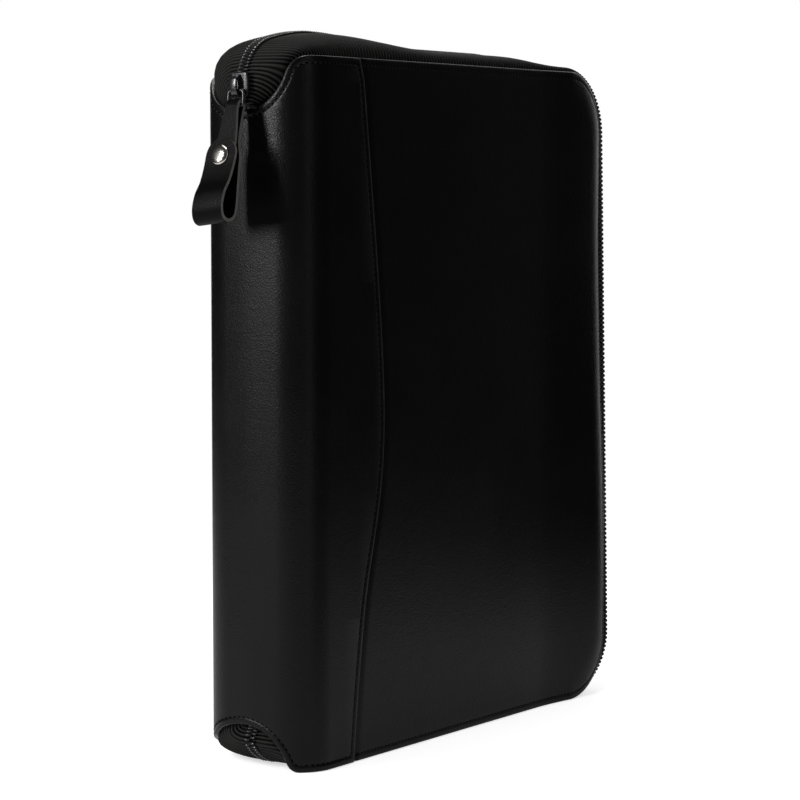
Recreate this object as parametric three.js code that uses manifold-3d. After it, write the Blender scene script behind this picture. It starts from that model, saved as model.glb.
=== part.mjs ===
// Zippered planner binder, closed and standing on its lower edge.
// Millimetres. X runs from the spine to the fore edge, -Y is the front cover, +Z is up.
import * as THREE from 'three';
import { mergeVertices } from 'three/addons/utils/BufferGeometryUtils.js';
import Module from 'manifold-3d';

const wasm = await Module();
wasm.setup();

// Outer size of the closed binder
const coverHeight = 245;
const coverWidth = 195;
const binderDepth = 48;
const spineRadius = 14;
const cornerRadius = 24;
const foreEdgeRun = 14;
const foreEdgeFall = 2;

// Thicknesses of the layers, from the outer skin inwards, and the gaps between pieces
const leatherThickness = 1.6;
const panelStep = 0.4;
const boardThickness = 2.4;
const liningThickness = 0.8;
const pocketThickness = 0.9;
const tapeThickness = 1;
const layerGap = 0.1;
const pieceGap = 0.3;

// Round scoops that show the ends of the zipper at the head and the foot of the spine
const topScoop = { radius: 19, depth: 18.4, fillet: 6 };
const footScoop = { radius: 19, depth: 16, fillet: 5 };

// Curved seam between the front strip and the front panel: distances from the spine
const seamTop = 32;
const seamShoulder = 35.6;
const seamShoulderHeight = 229;
const seamWidest = 46.5;
const seamWidestHeight = 118;
const seamFoot = 28;

// Zipper line in the mid-plane
const coilProud = 3;
const coilTopEnd = 15.6;
const sliderBelowTop = 10.2;
const sliderArcRadius = 16;
const sliderArcTurn = THREE.MathUtils.degToRad(75);
const crestHigh = 9.5;
const crestLow = 5.5;
const crestSettles = 125;
const foreEdgeBulge = 5.5;
const floorRise = 1.2;
const coilFootEnd = 15.6;
const coilFootProud = 2;
const footArcRadius = 18;
const footLineEnd = 40;
const tapeRise = 1;
const tapeTuck = 4;
const tapeInnerEdge = 3.4;
const coilWidth = 2.4;
const coilHeight = 1.6;
const coilGap = 1.2;

// Insets of the inner layers from the leather's outline
const boardInset = 5.5;
const liningInset = 2.3;
const liningScoopMargin = 6;
const hingeBoardGap = 3;
const spineBoardInset = 4.8;

// Pockets and pen loop inside the covers
const pocketStart = 46;
const pocketEdge = 7;
const slipPocketBelowTop = 87;
const slipPocketSlope = 26;
const cardPocketStart = 62;
const cardPocketWidth = 100;
const cardPocketFoot = 22;
const cardPocketHeights = [84, 52];
const penLoopRadius = 7.2;
const penLoopWall = 1;
const penLoopHeight = 50;
const penLoopBelowTop = 31;
const penLoopFromForeEdge = 19;

// Ring mechanism: three groups of 2, 3 and 2 rings
const ringInnerRadius = 12.5;
const ringWire = 2.5;
const ringPitch = 19;
const ringBesideRivet = 9;
const ringAboveLining = 15.25;
const ringFootAngle = THREE.MathUtils.degToRad(154);
const ringTipGap = 0.3;
const ringPlateWidth = 22;
const ringPlateHeight = 6;
const ringPlateWall = 0.8;
const ringPlateClearance = 3.3;
const ringSlotStart = 5.7;
const ringSlotEnd = 11.1;
const ringSlotHeight = 2.2;
const bladeThickness = 0.9;
const bladeHeight = 0.45;
const bladePastRing = 4;
const bladeOuterGap = 1.3;
const ringRivetRadius = 3.2;
const ringRivetShank = 1.5;
const ringRivetInset = 9;
const leverInset = 3;
const leverWidth = 9;
const leverBar = 1.8;
const leverReach = 9;
const leverRise = 6.5;
const leverPin = 0.7;

// Slider, with a bridge that holds the pull
const sliderLength = 9.2;
const sliderWidth = 8.2;
const sliderTail = 5.4;
const sliderChannel = 3.3;
const sliderPlate = 0.8;
const sliderInnerWidth = 5.8;
const sliderPost = 0.7;
const bridgeWidth = 2.6;
const bridgeRise = 2.75;
const bridgeWall = 0.85;
const bridgeLength = 7.2;

// Pull: wire bail, folded leather strap and dome rivet
const bailWire = 1.2;
const bailWidth = 6.4;
const bailLength = 5.2;
const bailDrop = 1.6;
const bailLean = THREE.MathUtils.degToRad(4.6);
const strapThickness = 1.3;
const strapLean = THREE.MathUtils.degToRad(14);
const strapWidth = 12.4;
const strapNeck = 4.8;
const strapNeckLow = 7.4;
const strapToRivet = 18;
const strapLoopLength = 21;
const strapLoopDepth = 7.6;
const strapWrapClearance = 0.3;
const rivetRadius = 3.5;
const rivetDome = 1.3;
const rivetShank = 1.2;

// Smoothness of the curved surfaces
const arcSteps = 8;
const tubeSides = 8;

const quarterTurn = Math.PI / 2;
const halfDepth = binderDepth / 2;
const spineFlat = halfDepth - spineRadius;
const coverStart = spineFlat + spineRadius * quarterTurn;
const boardDepth = leatherThickness + layerGap;
const liningDepth = boardDepth + boardThickness + layerGap;
const insideDepth = liningDepth + liningThickness;
const tapeDepth = leatherThickness + layerGap + tapeThickness / 2;
const beyond = 30;

const vec2 = (x, y) => new THREE.Vector2(x, y);
const vec3 = (x, y, z) => new THREE.Vector3(x, y, z);

// A closed geometry with its faces turned outwards
function facingOut(geometry) {
  const position = geometry.getAttribute('position');
  const index = geometry.getIndex();
  const a = vec3(), b = vec3(), c = vec3();
  let volume = 0;
  for (let i = 0; i < index.count; i += 3) {
    a.fromBufferAttribute(position, index.getX(i));
    b.fromBufferAttribute(position, index.getX(i + 1));
    c.fromBufferAttribute(position, index.getX(i + 2));
    volume += a.dot(b.cross(c));
  }
  if (volume < 0) index.array.reverse();
  geometry.computeVertexNormals();
  return geometry;
}

function indexed(points, faces) {
  const geometry = new THREE.BufferGeometry().setFromPoints(points);
  geometry.setIndex(faces);
  return facingOut(geometry);
}

// Joins and cuts are made on solids
function solid(geometry) {
  const bare = geometry.clone();
  bare.deleteAttribute('normal');
  bare.deleteAttribute('uv');
  const merged = mergeVertices(bare, 1e-5);
  return new wasm.Manifold(new wasm.Mesh({
    numProp: 3,
    vertProperties: new Float32Array(merged.getAttribute('position').array),
    triVerts: new Uint32Array(merged.getIndex().array),
  }));
}

function surface(manifold) {
  const mesh = manifold.getMesh();
  const geometry = new THREE.BufferGeometry();
  geometry.setAttribute('position', new THREE.BufferAttribute(mesh.vertProperties, 3));
  geometry.setIndex(new THREE.BufferAttribute(mesh.triVerts, 1));
  geometry.computeVertexNormals();
  return geometry;
}

function extruded(shape, depth) {
  return new THREE.ExtrudeGeometry(shape, { depth, bevelEnabled: false, curveSegments: arcSteps });
}

// A shape drawn in X and Y, standing from one height to another
function upright(shape, from, to) {
  return extruded(shape, to - from).translate(0, 0, from);
}

// A shape drawn in X and Z, laid from one Y to a larger one
function facingFront(shape, from, to) {
  const turn = new THREE.Matrix4().makeBasis(vec3(1, 0, 0), vec3(0, 0, 1), vec3(0, -1, 0));
  return extruded(shape, to - from).applyMatrix4(turn).translate(0, to, 0);
}

// A shape drawn in Y and Z, laid from one X to a larger one
function facingSpine(shape, from, to) {
  const turn = new THREE.Matrix4().makeBasis(vec3(0, 1, 0), vec3(0, 0, 1), vec3(1, 0, 0));
  return extruded(shape, to - from).applyMatrix4(turn).translate(from, 0, 0);
}

function block(low, high) {
  const size = high.clone().sub(low);
  const middle = high.clone().add(low).multiplyScalar(0.5);
  return new THREE.BoxGeometry(size.x, size.y, size.z).translate(middle.x, middle.y, middle.z);
}

function rectangle(x0, z0, x1, z1) {
  return new THREE.Shape([vec2(x0, z0), vec2(x1, z0), vec2(x1, z1), vec2(x0, z1)]);
}

// A sheet of even thickness on both sides of a grid of points
function thickSheet(grid, thickness) {
  const rows = grid.length, columns = grid[0].length;
  const points = [];
  for (const side of [0.5, -0.5]) {
    for (let i = 0; i < rows; i++) {
      for (let j = 0; j < columns; j++) {
        const along = grid[Math.min(i + 1, rows - 1)][j].clone().sub(grid[Math.max(i - 1, 0)][j]);
        const across = grid[i][Math.min(j + 1, columns - 1)].clone().sub(grid[i][Math.max(j - 1, 0)]);
        const normal = along.cross(across).normalize();
        points.push(grid[i][j].clone().addScaledVector(normal, side * thickness));
      }
    }
  }
  const at = (side, i, j) => side * rows * columns + i * columns + j;
  const faces = [];
  const quad = (a, b, c, d) => faces.push(a, b, c, a, c, d);
  for (let i = 0; i < rows - 1; i++) {
    for (let j = 0; j < columns - 1; j++) {
      quad(at(0, i, j), at(0, i + 1, j), at(0, i + 1, j + 1), at(0, i, j + 1));
      quad(at(1, i, j), at(1, i, j + 1), at(1, i + 1, j + 1), at(1, i + 1, j));
    }
    quad(at(0, i, 0), at(1, i, 0), at(1, i + 1, 0), at(0, i + 1, 0));
    const j = columns - 1;
    quad(at(0, i, j), at(0, i + 1, j), at(1, i + 1, j), at(1, i, j));
  }
  for (let j = 0; j < columns - 1; j++) {
    quad(at(0, 0, j), at(0, 0, j + 1), at(1, 0, j + 1), at(1, 0, j));
    const i = rows - 1;
    quad(at(0, i, j), at(1, i, j), at(1, i, j + 1), at(0, i, j + 1));
  }
  return indexed(points, faces);
}

// An oval tube along a plane curve; across is square to the curve's plane
function planeTube(path, across, width, height, closed = false) {
  const count = path.length;
  const points = [], faces = [];
  path.forEach((point, i) => {
    const before = path[closed ? (i + count - 1) % count : Math.max(i - 1, 0)];
    const after = path[closed ? (i + 1) % count : Math.min(i + 1, count - 1)];
    const normal = after.clone().sub(before).cross(across).normalize();
    for (let k = 0; k < tubeSides; k++) {
      const angle = 2 * Math.PI * (k + 0.5) / tubeSides;
      points.push(point.clone()
        .addScaledVector(across, width / 2 * Math.cos(angle))
        .addScaledVector(normal, height / 2 * Math.sin(angle)));
    }
  });
  for (let i = 0; i < (closed ? count : count - 1); i++) {
    const here = i * tubeSides, next = ((i + 1) % count) * tubeSides;
    for (let k = 0; k < tubeSides; k++) {
      const turn = (k + 1) % tubeSides;
      faces.push(here + k, next + k, next + turn, here + k, next + turn, here + turn);
    }
  }
  for (let k = 1; k < tubeSides - 1 && !closed; k++) {
    const last = (count - 1) * tubeSides;
    faces.push(0, k, k + 1, last, last + k + 1, last + k);
  }
  return indexed(points, faces);
}

// How far a cover bends in towards the mid-plane near its fore edge
function foreEdgeBend(x) {
  const run = Math.max(0, x - (coverWidth - foreEdgeRun));
  return foreEdgeFall * (run / foreEdgeRun) ** 2;
}

// Point of the front half of the wrap: skin distance from the spine's middle, depth below the skin
function wrapPoint(distance, depth) {
  if (distance <= spineFlat) return vec2(depth, -distance);
  if (distance <= coverStart) {
    const angle = (distance - spineFlat) / spineRadius;
    const radius = spineRadius - depth;
    return vec2(spineRadius - radius * Math.cos(angle), -spineFlat - radius * Math.sin(angle));
  }
  const x = spineRadius + distance - coverStart;
  return vec2(x, depth - halfDepth + foreEdgeBend(x));
}

const distanceAt = (x) => coverStart + x - spineRadius;

// Section of one layer of the whole wrap, seen from above
function wrapSection(outerDepth, innerDepth) {
  const stations = [];
  for (let i = 0; i <= arcSteps; i++) {
    stations.push(spineFlat + (coverStart - spineFlat) * i / arcSteps);
  }
  for (let i = 0; i <= arcSteps; i++) {
    stations.push(distanceAt(coverWidth - foreEdgeRun * (1 - i / arcSteps)));
  }
  const line = (depth) => {
    const front = stations.map((distance) => wrapPoint(distance, depth));
    const back = front.map((point) => vec2(point.x, -point.y)).reverse();
    return [...back, ...front];
  };
  return new THREE.Shape([...line(outerDepth), ...line(innerDepth).reverse()]);
}

function wrapLayer(outerDepth, innerDepth) {
  return solid(upright(wrapSection(outerDepth, innerDepth), 0, coverHeight));
}

// The covers turn on the spine's rounded edges: mitre planes through both hinges part the bodies
const mitre = halfDepth;
const wedgeReach = 2 * (coverHeight + coverWidth);

function mitreRegion(points) {
  const shape = new THREE.Shape(points);
  return solid(upright(shape, -beyond, coverHeight + beyond));
}

const spineApex = mitre - pieceGap / 2 * Math.SQRT2;
const coverApex = mitre + pieceGap / 2 * Math.SQRT2;
const spineRegion = mitreRegion([
  vec2(spineApex, 0), vec2(spineApex - wedgeReach, wedgeReach), vec2(spineApex - wedgeReach, -wedgeReach),
]);
const frontRegion = mitreRegion([
  vec2(coverApex, 0), vec2(coverApex - wedgeReach, -wedgeReach),
  vec2(wedgeReach, -wedgeReach), vec2(wedgeReach, 0),
]);
const backRegion = mitreRegion([
  vec2(coverApex, 0), vec2(wedgeReach, 0),
  vec2(wedgeReach, wedgeReach), vec2(coverApex - wedgeReach, wedgeReach),
]);

// Depth of a scoop below the leather's edge at a skin distance from the spine's middle
function scoopDepth(distance, scoop) {
  const rise = scoop.radius - scoop.depth;
  const filletCentre = Math.sqrt((scoop.radius + scoop.fillet) ** 2 - (rise + scoop.fillet) ** 2);
  const tangent = filletCentre * scoop.radius / (scoop.radius + scoop.fillet);
  if (distance >= filletCentre) return 0;
  if (distance <= tangent) return Math.sqrt(scoop.radius ** 2 - distance ** 2) - rise;
  return scoop.fillet - Math.sqrt(scoop.fillet ** 2 - (filletCentre - distance) ** 2);
}

function scoopCutter(scoop, edge, up) {
  const steps = 4 * arcSteps;
  const reach = scoop.radius + scoop.fillet;
  const front = [];
  for (let i = 0; i <= steps; i++) {
    const distance = reach * i / steps;
    const z = edge - up * scoopDepth(distance, scoop);
    front.push(vec2(wrapPoint(distance, 0).y, i === steps ? edge + up : z));
  }
  const back = front.slice(1).map((point) => vec2(-point.x, point.y)).reverse();
  return solid(facingSpine(new THREE.Shape([...back, ...front]), -beyond, spineRadius));
}

// Cuts both scoops, or wider ones for the layers inside
function scooped(shape, margin = 0) {
  const wider = (scoop) => ({ ...scoop, radius: scoop.radius + margin, depth: scoop.depth + margin });
  return shape
    .subtract(scoopCutter(wider(topScoop), coverHeight, 1))
    .subtract(scoopCutter(wider(footScoop), 0, -1));
}

// Outline of a cover, seen from the front
function coverOutline(inset, start) {
  const shape = new THREE.Shape();
  const centre = coverWidth - cornerRadius;
  const radius = cornerRadius - inset;
  shape.moveTo(start, inset);
  shape.lineTo(centre, inset);
  shape.absarc(centre, cornerRadius, radius, -quarterTurn, 0);
  shape.lineTo(coverWidth - inset, coverHeight - cornerRadius);
  shape.absarc(centre, coverHeight - cornerRadius, radius, 0, quarterTurn);
  shape.lineTo(start, coverHeight - inset);
  return solid(facingFront(shape, -beyond, beyond));
}

function seamRegion(shift, side) {
  const line = new THREE.SplineCurve([
    vec2(seamFoot, 0),
    vec2(seamFoot + 0.35 * (seamWidest - seamFoot), 0.44 * seamWidestHeight),
    vec2(seamWidest, seamWidestHeight),
    vec2(seamShoulder, seamShoulderHeight),
    vec2(seamTop, coverHeight),
  ]).getPoints(3 * arcSteps).map((point) => point.add(vec2(shift, 0)));
  const edge = side < 0 ? -beyond : coverWidth + beyond;
  const shape = new THREE.Shape([
    vec2(edge, -beyond), vec2(seamFoot + shift, -beyond), ...line,
    vec2(seamTop + shift, coverHeight + beyond), vec2(edge, coverHeight + beyond),
  ]);
  return solid(facingFront(shape, -beyond, 0));
}

function material(colour, roughness, metalness = 0) {
  return new THREE.MeshStandardMaterial({ color: colour, roughness, metalness });
}

const leather = () => material(0x17171a, 0.42);
const board = () => material(0x6f6254, 0.9);
const lining = () => material(0x1d1d20, 0.75);
const ribbedTape = () => material(0x111113, 0.9);
const nylon = () => material(0x0c0c0e, 0.55);
const blackMetal = () => material(0x1a1a1e, 0.35, 0.8);
const steel = () => material(0xb8b9bd, 0.3, 1);
const nickel = () => material(0xd8d6d0, 0.18, 1);

const binder = new THREE.Group();
binder.name = 'planner_binder';

function addPiece(parent, name, shape, finish) {
  const geometry = shape.isBufferGeometry ? shape : surface(shape);
  const mesh = new THREE.Mesh(geometry, finish);
  mesh.name = name;
  parent.add(mesh);
  return mesh;
}

function mirrored(geometry) {
  return facingOut(geometry.clone().scale(1, -1, 1));
}

// Point on an arc that is drawn in X and Z, turned up from the side facing the spine
function onArc(centre, radius, angle) {
  return vec2(centre.x - radius * Math.cos(angle), centre.y + radius * Math.sin(angle));
}

// Zipper line in the mid-plane, from its end on the spine over the corner to its highest point
function headLine() {
  const centre = vec2(sliderArcRadius - coilProud, coverHeight - sliderBelowTop);
  const line = [vec2(-coilProud, coverHeight - coilTopEnd)];
  for (let i = 0; i <= arcSteps; i++) {
    line.push(onArc(centre, sliderArcRadius, sliderArcTurn * i / arcSteps));
  }
  const shoulder = line.at(-1);
  const crestTop = coverHeight + crestHigh;
  const crestRadius = (crestTop - shoulder.y) / (1 - Math.sin(sliderArcTurn));
  const crestCentre = vec2(shoulder.x + crestRadius * Math.cos(sliderArcTurn), crestTop - crestRadius);
  const crestSteps = arcSteps / 2;
  for (let i = 1; i <= crestSteps; i++) {
    const angle = THREE.MathUtils.lerp(sliderArcTurn, quarterTurn, i / crestSteps);
    line.push(onArc(crestCentre, crestRadius, angle));
  }
  return line;
}

// Zipper line in the mid-plane, from its end on the spine down to the run under the covers
function footLine() {
  const centreHeight = floorRise + footArcRadius;
  const startAngle = Math.asin((centreHeight - coilFootEnd) / footArcRadius);
  const centre = vec2(footArcRadius * Math.cos(startAngle) - coilFootProud, centreHeight);
  const line = [];
  for (let i = 0; i <= arcSteps; i++) {
    const angle = THREE.MathUtils.lerp(startAngle, quarterTurn, i / arcSteps);
    line.push(onArc(centre, footArcRadius, -angle));
  }
  line.push(vec2(footLineEnd, floorRise));
  return line;
}

// A station of the zipper: the coil's point, the tape's point at the leather's edge, and the
// tape's end tucked behind the leather. Round a scoop the tape's edge keeps step with the coil
function scoopStations(line, scoop, heights) {
  const lengths = [0];
  for (let i = 1; i < line.length; i++) {
    lengths.push(lengths[i - 1] + line[i].distanceTo(line[i - 1]));
  }
  const endDistance = distanceAt(line.at(-1).x);
  return line.map((coil, i) => {
    const distance = THREE.MathUtils.lerp(tapeInnerEdge, endDistance, lengths[i] / lengths.at(-1));
    const { x, y } = wrapPoint(distance, tapeDepth);
    const [rim, tucked] = heights(scoopDepth(distance, scoop));
    return { coil, rim: vec3(x, y, rim), tucked: vec3(x, y, tucked) };
  });
}

// Along a cover's edge the coil stands out by its bulge and the tape by its rise
function edgeStation(point, outward, bulge, rise) {
  const place = (reach) => {
    const { x, y: z } = point.clone().addScaledVector(outward, reach);
    return vec3(x, tapeDepth - halfDepth + foreEdgeBend(x), z);
  };
  const { x, z } = place(bulge);
  return { coil: vec2(x, z), rim: place(rise), tucked: place(-tapeTuck) };
}

function zipperStations() {
  const head = headLine();
  const headHeights = (depth) => {
    const rim = coverHeight - depth + tapeRise;
    return [rim, rim - tapeTuck];
  };
  const footHeights = (depth) => {
    const rim = depth - tapeRise;
    return [Math.max(floorRise, rim), rim + tapeTuck];
  };
  const line = scoopStations(head, topScoop, headHeights);

  const crestX = head.at(-1).x;
  const cornerX = coverWidth - cornerRadius;
  const ease = (share) => (1 - Math.cos(Math.PI * share)) / 2;
  for (let i = 1; i <= arcSteps; i++) {
    const x = THREE.MathUtils.lerp(crestX, cornerX, i / arcSteps);
    const settled = Math.min(1, (x - crestX) / (crestSettles - crestX));
    const crest = THREE.MathUtils.lerp(crestHigh, crestLow, ease(settled));
    line.push(edgeStation(vec2(x, coverHeight), vec2(0, 1), crest, tapeRise));
  }
  for (let i = 1; i <= 2 * arcSteps; i++) {
    const turn = quarterTurn * (1 - i / arcSteps);
    const centreZ = turn < 0 ? cornerRadius : coverHeight - cornerRadius;
    const outward = vec2(Math.cos(turn), Math.sin(turn));
    const point = vec2(cornerX, centreZ).addScaledVector(outward, cornerRadius);
    if (i === arcSteps) {
      line.push(edgeStation(point, outward, foreEdgeBulge, tapeRise));
      point.setY(cornerRadius);
    }
    const under = ease(Math.max(0, -turn) / quarterTurn);
    const bulge = THREE.MathUtils.lerp(i < arcSteps ? crestLow : foreEdgeBulge, -floorRise, under);
    line.push(edgeStation(point, outward, bulge, THREE.MathUtils.lerp(tapeRise, -floorRise, under)));
  }
  const underSteps = 3;
  for (let i = 1; i <= underSteps; i++) {
    const x = THREE.MathUtils.lerp(cornerX, footLineEnd, i / underSteps);
    line.push(edgeStation(vec2(x, 0), vec2(0, -1), -floorRise, -floorRise));
  }
  const foot = scoopStations(footLine(), footScoop, footHeights).slice(0, -1);
  return [...line, ...foot.reverse()];
}

const stations = zipperStations();

// Front tape: tucked end, edge of the leather, then a quarter of an oval up to the coil
const tapeGrid = stations.map(({ coil, rim, tucked }) => {
  const row = [tucked, rim];
  const crossSteps = arcSteps - 2;
  for (let i = 1; i <= crossSteps; i++) {
    const angle = quarterTurn * i / crossSteps;
    row.push(vec3(
      THREE.MathUtils.lerp(rim.x, coil.x, Math.sin(angle)),
      THREE.MathUtils.lerp(-tapeInnerEdge, rim.y, Math.cos(angle)),
      THREE.MathUtils.lerp(rim.z, coil.y, Math.sin(angle))));
  }
  return row;
});
const frontTapeRun = thickSheet(tapeGrid, tapeThickness);

const coilCentre = (coilGap + coilWidth) / 2;
const coilPath = stations.map(({ coil }) => vec3(coil.x, -coilCentre, coil.y));
const frontCoilRun = planeTube(coilPath, vec3(0, 1, 0), coilWidth, coilHeight);

const upperHalf = solid(block(
  vec3(-beyond, -binderDepth, coverHeight / 2), vec3(coverWidth, binderDepth, coverHeight + beyond)));
const lowerHalf = solid(block(
  vec3(-beyond, -binderDepth, -beyond), vec3(coverWidth, binderDepth, coverHeight / 2)));

// The ring mechanism fills the spine between the scoops; its heights are from its own middle
const mechanismHeight = (coverHeight - topScoop.depth + footScoop.depth) / 2;
const ringPlateLength = coverHeight - topScoop.depth - footScoop.depth - 2 * ringPlateClearance;
const rivetHeight = ringPlateLength / 2 - ringRivetInset;
const outerRing = rivetHeight - ringBesideRivet;
const bladeLength = 2 * (outerRing + bladePastRing);
const ringHeights = [
  outerRing, outerRing - ringPitch, ringPitch, 0, -ringPitch, ringPitch - outerRing, -outerRing,
];

const ringBase = insideDepth + layerGap;
const ringCentreX = insideDepth + ringAboveLining;
const ringMiddleRadius = ringInnerRadius + ringWire / 2;

// Spine

const spine = new THREE.Group();
binder.add(spine);

function rivetHole(radius, from, to, z) {
  const hole = new THREE.CylinderGeometry(radius, radius, to - from, 2 * tubeSides);
  return solid(hole.rotateZ(quarterTurn).translate((from + to) / 2, 0, z));
}

function withRivetHoles(shape, middle) {
  return [-rivetHeight, rivetHeight].reduce((rest, z) => (
    rest.subtract(rivetHole(ringRivetShank + pieceGap, -beyond, beyond, middle + z))), shape);
}

function buildSpine() {
  const wrap = scooped(wrapLayer(0, leatherThickness));
  addPiece(spine, 'spine_leather', wrap.intersect(spineRegion), leather());

  const boardTop = coverHeight - topScoop.depth - spineBoardInset;
  const boardFoot = footScoop.depth + spineBoardInset;
  const boardHalf = spineFlat - layerGap;
  const spineBoard = solid(block(
    vec3(boardDepth, -boardHalf, boardFoot), vec3(boardDepth + boardThickness, boardHalf, boardTop)));
  addPiece(spine, 'spine_board', withRivetHoles(spineBoard, mechanismHeight), board());

  const inside = scooped(wrapLayer(liningDepth, insideDepth), liningScoopMargin);
  addPiece(spine, 'spine_lining',
    withRivetHoles(inside.intersect(spineRegion), mechanismHeight), lining());

  const tapeEnds = solid(frontTapeRun).intersect(spineRegion);
  const coilEnds = solid(frontCoilRun).intersect(spineRegion);
  for (const [end, range] of [['top', upperHalf], ['foot', lowerHalf]]) {
    const tape = surface(tapeEnds.intersect(range));
    const coil = surface(coilEnds.intersect(range));
    addPiece(spine, `front_tape_${end}_end`, tape, ribbedTape());
    addPiece(spine, `back_tape_${end}_end`, mirrored(tape), ribbedTape());
    addPiece(spine, `front_coil_${end}_end`, coil, nylon());
    addPiece(spine, `back_coil_${end}_end`, mirrored(coil), nylon());
  }
}

// Metal end stops of the zipper, clamped over both coils
function buildStops() {
  const stopLength = 1.2;
  const stopHalf = coilGap / 2 + coilWidth;
  const first = stations[0].coil, last = stations.at(-1).coil, inner = stations.at(-2).coil;
  const topStop = new THREE.BoxGeometry(coilHeight + 0.4, 2 * stopHalf, stopLength);
  addPiece(spine, 'zipper_top_stop', topStop, blackMetal())
    .position.set(first.x, 0, first.y - stopLength / 2 - pieceGap);
  const direction = last.clone().sub(inner).normalize();
  const seat = last.clone().addScaledVector(direction, stopLength / 2 + pieceGap);
  const footStop = addPiece(spine, 'zipper_foot_stop', topStop.clone(), blackMetal());
  footStop.position.set(seat.x, 0, seat.y);
  footStop.rotation.y = Math.atan2(direction.x, direction.y);
}

// Covers

const frontCover = new THREE.Group();
const backCover = new THREE.Group();
binder.add(frontCover, backCover);

function buildCovers() {
  const wrap = scooped(wrapLayer(0, leatherThickness));
  const outline = coverOutline(0, -beyond);
  const frontWrap = wrap.intersect(frontRegion).intersect(outline);
  addPiece(frontCover, 'front_strip_leather', frontWrap.intersect(seamRegion(-pieceGap / 2, -1)), leather());
  const panel = wrapLayer(panelStep, leatherThickness).intersect(frontRegion).intersect(outline);
  addPiece(frontCover, 'front_panel_leather', panel.intersect(seamRegion(pieceGap / 2, 1)), leather());
  addPiece(backCover, 'back_cover_leather', wrap.intersect(backRegion).intersect(outline), leather());

  const boards = wrapLayer(boardDepth, boardDepth + boardThickness)
    .intersect(coverOutline(boardInset, spineRadius + hingeBoardGap));
  const linings = scooped(wrapLayer(liningDepth, insideDepth), liningScoopMargin)
    .intersect(coverOutline(liningInset, -beyond));
  for (const [side, cover, region] of [['front', frontCover, frontRegion], ['back', backCover, backRegion]]) {
    addPiece(cover, `${side}_board`, boards.intersect(region), board());
    addPiece(cover, `${side}_lining`, linings.intersect(region), lining());
  }

  const tape = surface(solid(frontTapeRun).intersect(frontRegion));
  const coil = surface(solid(frontCoilRun).intersect(frontRegion));
  addPiece(frontCover, 'front_zipper_tape', tape, ribbedTape());
  addPiece(frontCover, 'front_zipper_coil', coil, nylon());
  addPiece(backCover, 'back_zipper_tape', mirrored(tape), ribbedTape());
  addPiece(backCover, 'back_zipper_coil', mirrored(coil), nylon());
}

function buildPockets() {
  const layer = (level) => {
    const outer = insideDepth + layerGap + level * (pocketThickness + layerGap);
    return wrapLayer(outer, outer + pocketThickness);
  };
  const slipPocketTop = coverHeight - slipPocketBelowTop;
  const slip = solid(facingFront(new THREE.Shape([
    vec2(pocketStart, 0), vec2(coverWidth, 0),
    vec2(coverWidth, slipPocketTop), vec2(pocketStart, slipPocketTop - slipPocketSlope),
  ]), -beyond, beyond)).intersect(coverOutline(pocketEdge, pocketStart));
  addPiece(frontCover, 'front_slip_pocket', layer(0).intersect(frontRegion).intersect(slip), lining());
  addPiece(backCover, 'back_slip_pocket', layer(0).intersect(backRegion).intersect(slip), lining());
  cardPocketHeights.forEach((height, i) => {
    const card = solid(facingFront(rectangle(cardPocketStart, cardPocketFoot,
      cardPocketStart + cardPocketWidth, cardPocketFoot + height), -beyond, beyond));
    addPiece(frontCover, i ? 'card_pocket_front' : 'card_pocket_rear',
      layer(1 + i).intersect(frontRegion).intersect(card), lining());
  });
  const loop = new THREE.Shape();
  const loopX = coverWidth - penLoopFromForeEdge;
  const loopY = halfDepth - insideDepth - layerGap - penLoopRadius;
  loop.absarc(loopX, loopY, penLoopRadius, 0, 2 * Math.PI);
  const bore = new THREE.Path().absarc(loopX, loopY, penLoopRadius - penLoopWall, 0, 2 * Math.PI, true);
  loop.holes.push(bore);
  const loopTop = coverHeight - penLoopBelowTop;
  addPiece(backCover, 'pen_loop', upright(loop, loopTop - penLoopHeight, loopTop), leather());
}

// Ring mechanism

const mechanism = new THREE.Group();
mechanism.position.z = mechanismHeight;
binder.add(mechanism);

function ovalLine(halfWidth, height) {
  const points = [];
  for (let i = 0; i <= 2 * arcSteps; i++) {
    const angle = Math.PI * i / (2 * arcSteps);
    points.push(vec2(ringBase + height * Math.sin(angle), -halfWidth * Math.cos(angle)));
  }
  return points;
}

function buildRingPlate() {
  const outer = ovalLine(ringPlateWidth / 2, ringPlateHeight);
  const inner = ovalLine(ringPlateWidth / 2 - ringPlateWall, ringPlateHeight - ringPlateWall);
  const shape = new THREE.Shape([...outer, ...inner.reverse()]);
  let plate = solid(upright(shape, -ringPlateLength / 2, ringPlateLength / 2));
  for (const z of ringHeights) {
    for (const side of [-1, 1]) {
      const ends = [side * ringSlotStart, side * ringSlotEnd].sort((a, b) => a - b);
      plate = plate.subtract(solid(block(
        vec3(ringBase + ringSlotHeight - layerGap, ends[0], z - ringWire / 2 - pieceGap),
        vec3(ringBase + 2 * ringPlateHeight, ends[1], z + ringWire / 2 + pieceGap))));
    }
  }
  addPiece(mechanism, 'ring_cover_plate', withRivetHoles(plate, 0), steel());
}

function buildRingRivets() {
  const headSeat = ringBase + ringPlateHeight + layerGap;
  const shankFoot = boardDepth + layerGap;
  const profile = [
    vec2(0, shankFoot), vec2(ringRivetShank, shankFoot), vec2(ringRivetShank, headSeat),
    vec2(ringRivetRadius, headSeat), vec2(0.7 * ringRivetRadius, headSeat + 0.9), vec2(0, headSeat + 1.2),
  ];
  for (const [name, z] of [['ring_rivet_upper', rivetHeight], ['ring_rivet_lower', -rivetHeight]]) {
    const rivet = new THREE.LatheGeometry(profile, 2 * tubeSides).rotateZ(-quarterTurn);
    addPiece(mechanism, name, solid(rivet), steel()).position.z = z;
  }
}

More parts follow.
